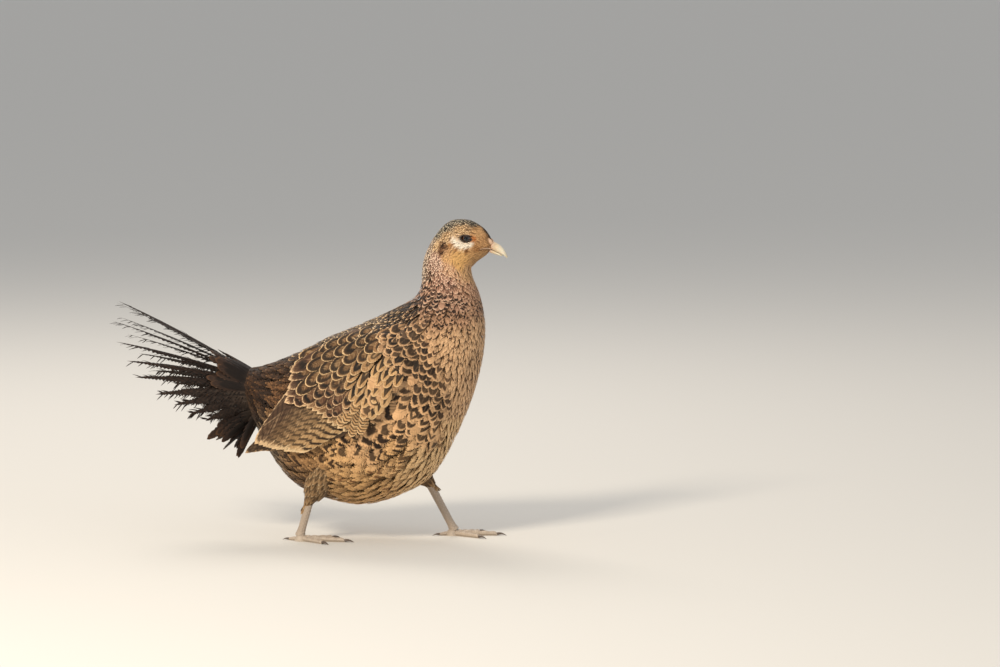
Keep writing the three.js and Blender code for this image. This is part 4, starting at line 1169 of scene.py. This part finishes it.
def tail_sheet(root, lift, spread, roll, length, droop=TAIL["droop"]):
    """Sheets that start at each root, head out by lift and spread, droop, and sag on both sides."""

    def at(p, q):
        each = (slice(None),) + (None,) * (p.ndim - 1)
        bend = np.radians(lift[each] - droop * p / length[each] / 2)
        sideways, turned = np.radians(spread[each]), np.radians(roll[each])
        flat = np.cos(bend)
        ahead_of = np.broadcast_arrays(-flat * np.cos(sideways), flat * np.sin(sideways), np.sin(bend))
        ahead_of = np.stack(ahead_of, -1)
        level = np.array([0, 1, 0]) - ahead_of * ahead_of[..., 1:2]
        level /= np.linalg.norm(level, axis=-1, keepdims=True)
        over = np.cross(level, ahead_of)
        side_of = level * np.cos(turned)[..., None] - over * np.sin(turned)[..., None]
        spot = root[each] + ahead_of * p[..., None] + side_of * q[..., None]
        return spot - np.array([0, 0, 1]) * (SAG * q**2)[..., None]

    return at


def same_look(kind, n):
    """The colours and shares of n feathers of one kind."""
    return np.repeat(kind[0][None], n, 0), np.repeat(kind[1][None], n, 0)


BLADE_FORM = vane(56, 2, 0.6, quill=0.5, widest=0.35, sweep=0.1, point=0.85)
COVERT_FORM = vane(15, 3, 0.3)
WISP_FORM = vane(4, 1, 0.0, quill=0.7, widest=0.3, sweep=0.1, point=0.8)
# The tail's colours are near-black: partly its own dark barred brown and partly painted shade, on the blades,
# their barbs and the coverts round the root.
DARK_BLADE = look("#2a1c14", "#0e0906", "#3a281b", edge=0.04, bars=0.7, bar_count=15)
DARK_COVERT = look("#2f211a", "#140d09", "#533a27", core=0.6, core_dark=0.9)

roots, lifts, spreads, rolls, lengths = [], [], [], [], []
for side in SIDES.values():
    for i, length in enumerate(TAIL["lengths"]):
        share = i / (len(TAIL["lengths"]) - 1)
        around = math.radians(8 + 112 * share)
        roots.append((
            TAIL["root"][0] - 2 + 3 * share,
            side * (1.6 + TAIL["roof"][0] * math.sin(around)),
            TAIL["root"][1] + TAIL["roof"][1] * math.cos(around),
        ))
        lengths.append(length * dice.uniform(0.98, 1.02))
        lifts.append(TAIL["lift"] - TAIL["drop"] * i + dice.uniform(-0.6, 0.6))
        spreads.append(side * (1.5 + TAIL["spread"] * i))
        rolls.append(side * (math.degrees(around) - TAIL["overlap"]))
blades = [np.array(k, float) for k in (roots, lifts, spreads, rolls, lengths)]
n = len(lengths)
zeros = np.zeros(n)
points = lay(tail_sheet(*blades), zeros, zeros, (1, 0), BLADE_FORM, blades[4], TAIL["wide"], 0, 0, cup=0.25,
    out=-1)
spots = np.stack([np.linspace(0, 0.9, n), np.linspace(0, 0.9, n)], -1)
feathers("tail_blades", points, BLADE_FORM, *same_look(DARK_BLADE, n), spots, "tail_plumage", "tail")

# Loose barbs stand off the outer part of each shaft and hang from it.
which = np.repeat(np.arange(n), TAIL["barbs"])
share = dice.uniform(0.25, 0.97, len(which))
turn = dice.choice([-1, 1], len(which)) * dice.uniform(0.5, 1.0, len(which))
loose = [k[which] for k in blades]
heading = np.stack([np.ones(len(which)), turn], -1)
long = dice.uniform(9, 17, len(which)) * (1.15 - 0.6 * share)
points = lay(tail_sheet(*loose), share * loose[4], 0 * share, heading, WISP_FORM, long, 1.1, 0,
    -dice.uniform(0, 4, len(which)), cup=0, out=-1)
spots = np.stack([share, which / n], -1) * 0.99
feathers("tail_barbs", points, WISP_FORM, *same_look(DARK_BLADE, len(which)), spots, "tail_plumage", "tail")

# Coverts round the root: count, turn around the root from the top, lift, length and width.
TAIL_COVERTS = [
    (13, (-62, 62), (30, 26), 46, 11), (9, (50, 118), (16, -12), 44, 11), (9, (-118, -50), (-12, 16), 44, 11),
    (17, (112, 248), (-20, -26), 50, 11), (15, (120, 240), (-30, -34), 40, 11),
    (17, (118, 242), (-46, -60), 40, 9), (11, (-50, 50), (26, 24), 34, 12),
]
rows = []
for count, turns, tilts, length, wide in TAIL_COVERTS:
    share = np.linspace(0, 1, count)
    turn = turns[0] + (turns[1] - turns[0]) * share + dice.uniform(-4, 4, count)
    tilt = tilts[0] + (tilts[1] - tilts[0]) * share + dice.uniform(-4, 4, count)
    bx, bz, fx, fz, half, _ = hoop(np.full(count, 0.45))
    tall = np.hypot(bx - fx, bz - fz) / 2
    angle = np.radians(turn)
    x, y, z = (bx + fx) / 2 + 4, 0.55 * half * np.sin(angle), (bz + fz) / 2 + (tall - 5) * np.cos(angle)
    rows.append(np.stack([x, y, z, tilt, 16 * np.sin(angle), turn, length * dice.uniform(0.8, 1.12, count),
        np.full(count, wide)], 1))
rows = np.concatenate(rows)
n = len(rows)
sheet = tail_sheet(rows[:, :3], rows[:, 3], rows[:, 4], rows[:, 5], rows[:, 6], droop=6)
points = lay(sheet, np.zeros(n), np.zeros(n), (1, 0), COVERT_FORM, rows[:, 6], rows[:, 7], 0,
    dice.uniform(-1.5, 1.5, n), cup=0.3, out=-1)
spots = np.stack([np.linspace(0, 0.95, n), dice.random(n)], -1)
feathers("tail_coverts", points, COVERT_FORM, *same_look(DARK_COVERT, n), spots, "tail_plumage", "tail")

# ---- The folded wings
# Each wing lies on the flank in tiers: stiff flight feathers lowest, and over them greater, median
# and lesser coverts, and the scapulars from the shoulder. All root in the thin arm underneath.

WING = {"wrist": (38, 178), "slope": math.radians(32.1)}
# The wing's outline: a from wrist to tip, then the lower and the upper b.
WING_EDGE = np.array([
    (-8, 4, 22), (12, -18, 31), (38, -30, 37), (66, -37, 42), (92, -39, 43), (114, -31, 32), (132, -18, 16),
], float)
FREE_SHEET = {"y": 51, "z": 116, "from_x": -20, "taper": 0.24, "round": 165, "blend": 3.5}


def sheet_side(x, z):
    """How far out the sheet lies that the wing folds onto. It leaves the body towards the tail."""
    free = FREE_SHEET["y"] + FREE_SHEET["taper"] * np.minimum(0, x - FREE_SHEET["from_x"])
    free = free - (z - FREE_SHEET["z"]) ** 2 / FREE_SHEET["round"]
    blend = FREE_SHEET["blend"]
    return blend * np.logaddexp(free / blend, (trunk_side(x, z) + 1.3) / blend)


def wing_sheet(side):
    def at(a, b):
        turn = WING["slope"]
        x = WING["wrist"][0] - a * math.cos(turn) - b * math.sin(turn)
        z = WING["wrist"][1] - a * math.sin(turn) + b * math.cos(turn)
        return np.stack([x, side * sheet_side(x, z), z], -1)

    return at


def wing_place(x, z):
    """Where x and z lie along and across the wing."""
    turn = WING["slope"]
    dx, dz = x - WING["wrist"][0], z - WING["wrist"][1]
    return -dx * math.cos(turn) - dz * math.sin(turn), -dx * math.sin(turn) + dz * math.cos(turn)


def wing_rims(a):
    """The lower and the upper b of the wing's outline at a."""
    return [np.interp(a, WING_EDGE[:, 0], WING_EDGE[:, k]) for k in (1, 2)]


def wing_inside(a, b):
    """How far inside the wing's outline a place is, in millimetres, less than 0 outside."""
    lower, upper = wing_rims(a)
    return np.minimum(np.minimum(b - lower, upper - b), np.minimum(a - WING_EDGE[0, 0], WING_EDGE[-1, 0] - a))


def arm_height(a):
    """How thick the arm is: fullest at the wrist, thinning towards the tip."""
    share = np.clip(a / WING_EDGE[-1, 0], 0, 1)
    return 0.3 + 4.7 * (1 - share) ** 2.2 * np.clip((a + 22) / 24, 0, 1)


def covert_height(a, b):
    """How far the small coverts' tips stand above the sheet."""
    over = np.interp(a, [-16, -4, 14, 36, 60, 90, 130], [0.3, 2.6, 6.4, 7.8, 7.4, 6.2, 4.4])
    upper = wing_rims(a)[1]
    return over * (1 - 0.85 * np.clip((b - upper + 13) / 13, 0, 1))


# Tiers of long feathers: count, width, height at the root and the tip, then where the first and the
# last feather run, each from root a, b to tip a, b and how it bends, then the first and last kind.
PRIMARY = look("#3b2b21", "#1d130d", "#c29d72", edge=0.06, bars=0.4, bar_count=16, streak=0.3)
OUTER = look("#bd9768", "#22150d", "#e4c79b", edge=0.09, bars=0.95, bar_count=11, streak=1)
INNER = look("#4f3929", "#1c120c", "#dcb98f", edge=0.13, bars=0.45, bar_count=13, streak=0.5)
CHECKED = look("#ba9060", "#170e08", "#e0c295", edge=0.07, bars=0.85, bar_count=7, streak=1)
TERTIAL = look("#6b4630", "#100a06", "#dfbb90", core=0.9, core_dark=0.6, hollow=0.5, arrow=0.9, arrow_at=0.8,
    arrow_half=0.06, arrow_slant=-0.1, edge=0.08)
TIERS = [
    (9, 12.5, 0.4, 0.8, (64, -24, 150, -16, 0), (96, -1, 187, -3, 0), PRIMARY, PRIMARY),
    (16, 17, 1.0, 3.2, (44, -28, 134, -28, 0.35), (80, 34, 171, -2, -0.3), OUTER, INNER),
    (5, 19, 1.6, 5.0, (46, 14, 122, 16, -0.2), (32, 36, 106, 36, -0.2), TERTIAL, TERTIAL),
    (13, 15, 1.8, 4.8, (22, -24, 84, -37, 0.1), (40, 26, 117, 22, -0.15), CHECKED, TERTIAL),
]
# The small coverts and scapulars around places of the wing: a, b and reach; length, width, gap; kind.
SLASH = look("#bf9463", "#0c0604", "#e2c294", arrow=1, arrow_at=0.64, arrow_half=0.29, arrow_slant=0.85,
    one_arm=0.35, shaft=0.1, streak=1)
SCAPULAR = look("#7d5733", "#120b06", "#e2bf8e", core=0.9, core_dark=0.9, hollow=0.45, edge=0.08, streak=1.1)
WING_COAT = [
    (-6, 8, 10, 17, 12, 9.2, HEART), (18, -6, 12, 16, 8.4, 7, SLASH), (20, -18, 9, 17, 9, 7.4, SLASH),
    (36, -27, 9, 18, 9, 7.6,
    look("#c39c6c", "#20130b", "#e0c092", arrow=1, arrow_at=0.7, arrow_half=0.16, arrow_slant=0.6,
    one_arm=0.4)),
    (42, -4, 12, 18, 8.8, 7.2, SLASH), (62, -24, 14, 19, 9.5, 7.4, CHECKED), (70, -2, 12, 19, 10, 8, TERTIAL),
    (14, 24, 12, 21, 12.5, 9.2, SCAPULAR), (48, 30, 18, 24, 13, 9.6, SCAPULAR),
    (80, 32, 14, 26, 14, 10.5, SCAPULAR),
    (98, 16, 12, 26, 16, 11, TERTIAL),
]
wing_places = np.array([row[:3] for row in WING_COAT], float)
wing_values = [np.array([row[6][k] for row in WING_COAT]) for k in (0, 1)]
wing_values.append(np.array([row[3:6] for row in WING_COAT], float))


def wing_coat_at(a, b):
    away = np.stack([a, b], -1)[..., None, :] - wing_places[:, :2]
    share = ((away**2).sum(-1) / wing_places[:, 2] ** 2 + 0.02) ** -2.0
    share /= share.sum(-1, keepdims=True)
    return tuple(np.tensordot(share, values, 1) for values in wing_values)


LONG_FORM = vane(20, 3, 0.14, quill=0.35, widest=0.45, sweep=0.16, point=0.6)
SMALL_COVERT_FORM = vane(12, 3, 0.14)
for name, side in SIDES.items():
    sheet = wing_sheet(side)
    a_rows, across = np.linspace(-6, 130, 40)[:, None], np.linspace(0, 1, 16)[None]
    lower, upper = wing_rims(a_rows)
    lower, upper = lower + 3, upper - 6
    b_rows = lower + (upper - lower) * across
    a_rows = a_rows + 0 * b_rows
    out = slopes(sheet, a_rows, b_rows)[2] * side
    dome = np.sqrt(np.clip(4 * across * (1 - across), 0, 1))
    top = sheet(a_rows, b_rows) + out * (arm_height(a_rows) * dome * 0.7)[..., None]
    under = sheet(a_rows, b_rows) - out * 1.0
    hoops = np.concatenate([top, under[:, ::-1]], 1)
    arm = new_form("arm_" + name, tube(hoops), hide, "wing_plumage", "wing_" + name)
    # The arm is dark brown, a painted shade under the wing's feathers.
    store(arm.data, "ground", np.tile(rgba("#5a4430"), (len(arm.data.vertices), 1)))

    points, tints, shapes, spots = [], [], [], []
    for count, wide, low, high, first, last, kind, last_kind in TIERS:
        share = np.linspace(0, 1, count)[:, None]
        lines = np.array(first) + (np.array(last) - np.array(first)) * share
        lines[:, :4] += dice.normal(0, 0.5, (count, 4))
        run = lines[:, 2:4] - lines[:, :2]
        long = np.linalg.norm(run, axis=1)
        points.append(lay(
            sheet, lines[:, 0], lines[:, 1], run, LONG_FORM, long, wide, low * 0.9,
            high + dice.uniform(-0.15, 0.15, count),
            cup=0.1, out=side, roll=side * 0.7, bend=lines[:, 4] * side,
        ))
        tints.append(kind[0] + (last_kind[0] - kind[0]) * share[..., None])
        shapes.append(kind[1] + (last_kind[1] - kind[1]) * share)
        spots.append(np.stack([(lines[:, 0] + 12) / 130, (lines[:, 1] + 45) / 95], -1))
    points, tints, shapes, spots = (np.concatenate(k) for k in (points, tints, shapes, spots))
    feathers("flight_" + name, points, LONG_FORM, tints, shapes, spots, "wing_plumage", "wing_" + name)

    def gap_here(at):
        return wing_coat_at(*wing_place(at[:, 0], at[:, 2]))[2][:, 2]

    def inside(a, b):
        reach = (b > -36) & (a < np.interp(b, [-36, -20, 0, 12, 25, 40, 45], [64, 74, 80, 92, 88, 72, 60]))
        return ((wing_inside(np.maximum(a, -7), b) > 0.5) & reach).astype(float)

    a, b = scatter(sheet, (-18, 98), (-38, 44), gap_here, wanted=inside)
    keep = inside(a, b) > 0
    a, b = a[keep], b[keep]
    tints, shapes, sizes = wing_coat_at(a, b)
    count = len(a)
    slant = np.radians(np.interp(b, [-36, 0, 16, 28, 40], [-34, -28, -12, 2, 10]))
    heading = np.stack([np.cos(slant), np.sin(slant)], -1)
    shapes[:, 4] = (dice.random(count) < shapes[:, 4]) * dice.uniform(0.85, 1, count)
    points = lay(
        sheet, a, b, heading, SMALL_COVERT_FORM, sizes[:, 0] * dice.uniform(0.9, 1.1, count), sizes[:, 1],
        covert_height(a, b) - 2.2, covert_height(a + sizes[:, 0], b) + dice.uniform(-0.25, 0.25, count),
        yaw=dice.normal(0, 0.08, count), cup=0.08, out=side, rise=1.6, thick=0.12,
    )
    spots = np.stack([(a + 14) / 110, (b + 38) / 82], -1)
    feathers("coverts_" + name, points, SMALL_COVERT_FORM, tints, shapes, spots, "wing_plumage",
        "wing_" + name)

# ---- The coat of body feathers
# Almost seven thousand small feathers rooted in the skin, which lie back over each other like tiles.
# Each is a shaft with soft vanes, made as a thin solid and joined with its neighbours to one mesh.

BODY_FORM = vane(15, 3, 0.3)
SOFT_FORM = vane(17, 2, 0.65, quill=0.3, widest=0.5, point=0.7)
FINE_FORM = vane(9, 1, 0.5, quill=0.3, widest=0.5, sweep=0.4, point=0.8)
SMALL_FORM = vane(6, 1, 0.3, widest=0.5, sweep=0.4, point=0.7)
TINY_FORM = vane(5, 1, 0.3, quill=0.4, widest=0.45, sweep=0.4, point=0.9)


def trunk_gap(at):
    return coat_at(at)[2][:, 2]


def over_wing(at):
    """How far body feathers rise where they close over the front of the folded wing."""
    a, b = wing_place(at[..., 0], at[..., 2])
    lower, upper = wing_rims(a)
    inside = np.clip((b - lower + 5) / 7, 0, 1) * np.clip((upper + 5 - b) / 7, 0, 1) * np.clip((a + 18) / 12,
        0, 1)
    return (covert_height(a, b) + 0.8) * inside * np.clip((86 - a) / 22, 0, 1)


def bare(at):
    """Where the face has no feathers: the lids, the flaps over the nostrils, and the gape."""
    x, y, z = np.moveaxis(at, -1, 0)
    eye_x, eye_z = x - EYE_X, z - EYE_Z + LIDS["slope"] * (x - EYE_X)
    lids = np.hypot(eye_x / np.where(eye_x > 0, LIDS["front"], LIDS["back"]), eye_z / LIDS["tall"]) < 1.06
    (flap_x, _, flap_z), (dx, _, dz) = FLAP["middle"], FLAP["along"]
    far, off = (x - flap_x) * dx + (z - flap_z) * dz, (x - flap_x) * dz - (z - flap_z) * dx
    flap = (np.hypot(far / FLAP["size"][0], off / FLAP["size"][2]) < 0.95) & (np.abs(y) > 1.6)
    gape_x, gape_z = np.array(GAPE).T
    return lids | flap | ((np.abs(z - np.interp(x, gape_x, gape_z)) < 0.5) & (x > gape_x[0]))


def ruffled(at):
    """How far the tips stand off on the crown and the nape, where they look spiky."""
    x, z = at[:, 0], at[:, 2]
    crown = 0.8 * np.clip((z - 283) / 6, 0, 1) * np.clip((100 - x) / 8, 0, 1)
    return crown + 0.7 * np.clip((60 - x) / 8, 0, 1) * np.clip((z - 236) / 8, 0, 1)


FACE_HOOP = 15  # beyond it, parts of the face are bare
PIECE_LIMIT = 190000  # triangles in one piece of the coat


def trunk_coat(name, s_span, form, stand, soft=False):
    """Covers the trunk between two hoops. Stand is how far the tips rise above the outline.

    A soft coat has downy feathers low and behind, and fine ones where they are narrow. Where the
    folded wing hides the body, no feathers grow.
    """
    s, angle = scatter(trunk, s_span, (0, 2 * np.pi), trunk_gap)
    at = trunk(s, angle)
    a, b = wing_place(at[:, 0], at[:, 2])
    hidden = (wing_inside(a, b) > np.interp(a, [0, 8, 60, 85, 100],
        [60, 9, 7, 4, 14])) & (np.abs(at[:, 1]) > 14)
    narrow = coat_at(at)[2][:, 1] < 5.6
    downy = ((at[:, 2] < 116 - 0.5 * (at[:, 0] - 40).clip(0)) | (at[:, 0] < -62)) & ~narrow
    picks = ((downy, SOFT_FORM, name + "_down"), (narrow, FINE_FORM, name + "_fine"),
        (~(downy | narrow), form, name))
    for pick, cut, tag in picks if soft else ((np.ones(len(s), bool), form, name),):
        keep = pick & ~hidden
        if not keep.any():
            continue
        order = np.flatnonzero(keep)
        order = order[np.argsort(s[order])]
        tints, shapes, sizes = coat_at(at[order])
        n = len(order)
        shapes[:, 4] = (dice.random(n) < shapes[:, 4]) * dice.uniform(0.85, 1, n)
        shapes[:, 5:8] += dice.normal(0, 1, (n, 3)) * [0.03, 0.025, 0.12]
        scale = dice.uniform(0.88, 1.12, n)
        deep = read_rows(COAT_DEPTH, s[order])
        points = lay(
            trunk, s[order], angle[order], (-1, 0), cut, sizes[:, 0] * scale,
            sizes[:, 1] * scale * dice.uniform(0.9, 1.1, n),
            -deep * 0.7, stand + ruffled(at[order]) + dice.uniform(-0.02, 0.07, n) * sizes[:, 1],
            yaw=dice.normal(0, 0.17, n), cup=0.1,
            rise=2.2, thick=0.1, lift=over_wing if soft else None,
        )
        if s_span[1] > FACE_HOOP:
            clear = ~bare(points).any(1)
            points, tints, shapes, order = points[clear], tints[clear], shapes[clear], order[clear]
            n = len(order)
        spots = np.stack([angle[order] / (2 * np.pi), (s[order] - s_span[0]) / (s_span[1] - s_span[0])], -1)
        count = int(np.ceil(n * len(cut[2]) / PIECE_LIMIT))
        for k, part in enumerate(np.array_split(np.arange(n), count)):
            label = tag if count == 1 else f"{tag}_{k + 1}"
            feathers(label, points[part], cut, tints[part], shapes[part], spots[part], "plumage")


trunk_coat("coat_body", (0.1, 9.6), BODY_FORM, 0.3, soft=True)
trunk_coat("coat_neck", (9.6, 13), SMALL_FORM, 0.2)
trunk_coat("coat_head", (13, 17.9), TINY_FORM, 0.12)

# Thigh feathers: looser, streaked, hanging like trousers over the top of the shank.
THIGH_LOOK = look("#94744f", "#3a2819", "#bda684", core=0.4, core_dark=0.5, edge=0.12, arrow=0.5,
    arrow_at=0.7, arrow_half=0.12, arrow_slant=0.5)
LOOSE_FORM = vane(15, 2, 0.5, quill=0.3, widest=0.5, point=0.7)
for name, leg in LEGS.items():

    def thigh(t, angle):
        radius = read_rows(THIGH[:, None], np.clip(t, 0, 1) * 4)[..., 0] - 22 * np.clip(t - 0.93, 0, 1)
        return limb(*thigh_ends(leg), np.maximum(radius - 0.6, 2.6), t, angle)

    t, angle = scatter(thigh, (0.1, 0.96), (0, 2 * np.pi), lambda at: np.full(len(at), 5.5))
    at = thigh(t, angle)
    keep = trunk_side(at[:, 0], at[:, 2]) < np.abs(at[:, 1]) + 5
    t, angle = t[keep], angle[keep]
    n = len(t)
    points = lay(
        thigh, t, angle, (1, 0), LOOSE_FORM, dice.uniform(14, 20, n), dice.uniform(4.5, 7, n), -1.5,
        dice.uniform(0.1, 0.7, n),
        yaw=dice.normal(0, 0.1, n), cup=0.15, out=-1, rise=2,
    )
    spots = np.stack([angle / (2 * np.pi), t], -1)
    feathers("coat_thigh_" + name, points, LOOSE_FORM, *same_look(THIGH_LOOK, n), spots, "plumage")
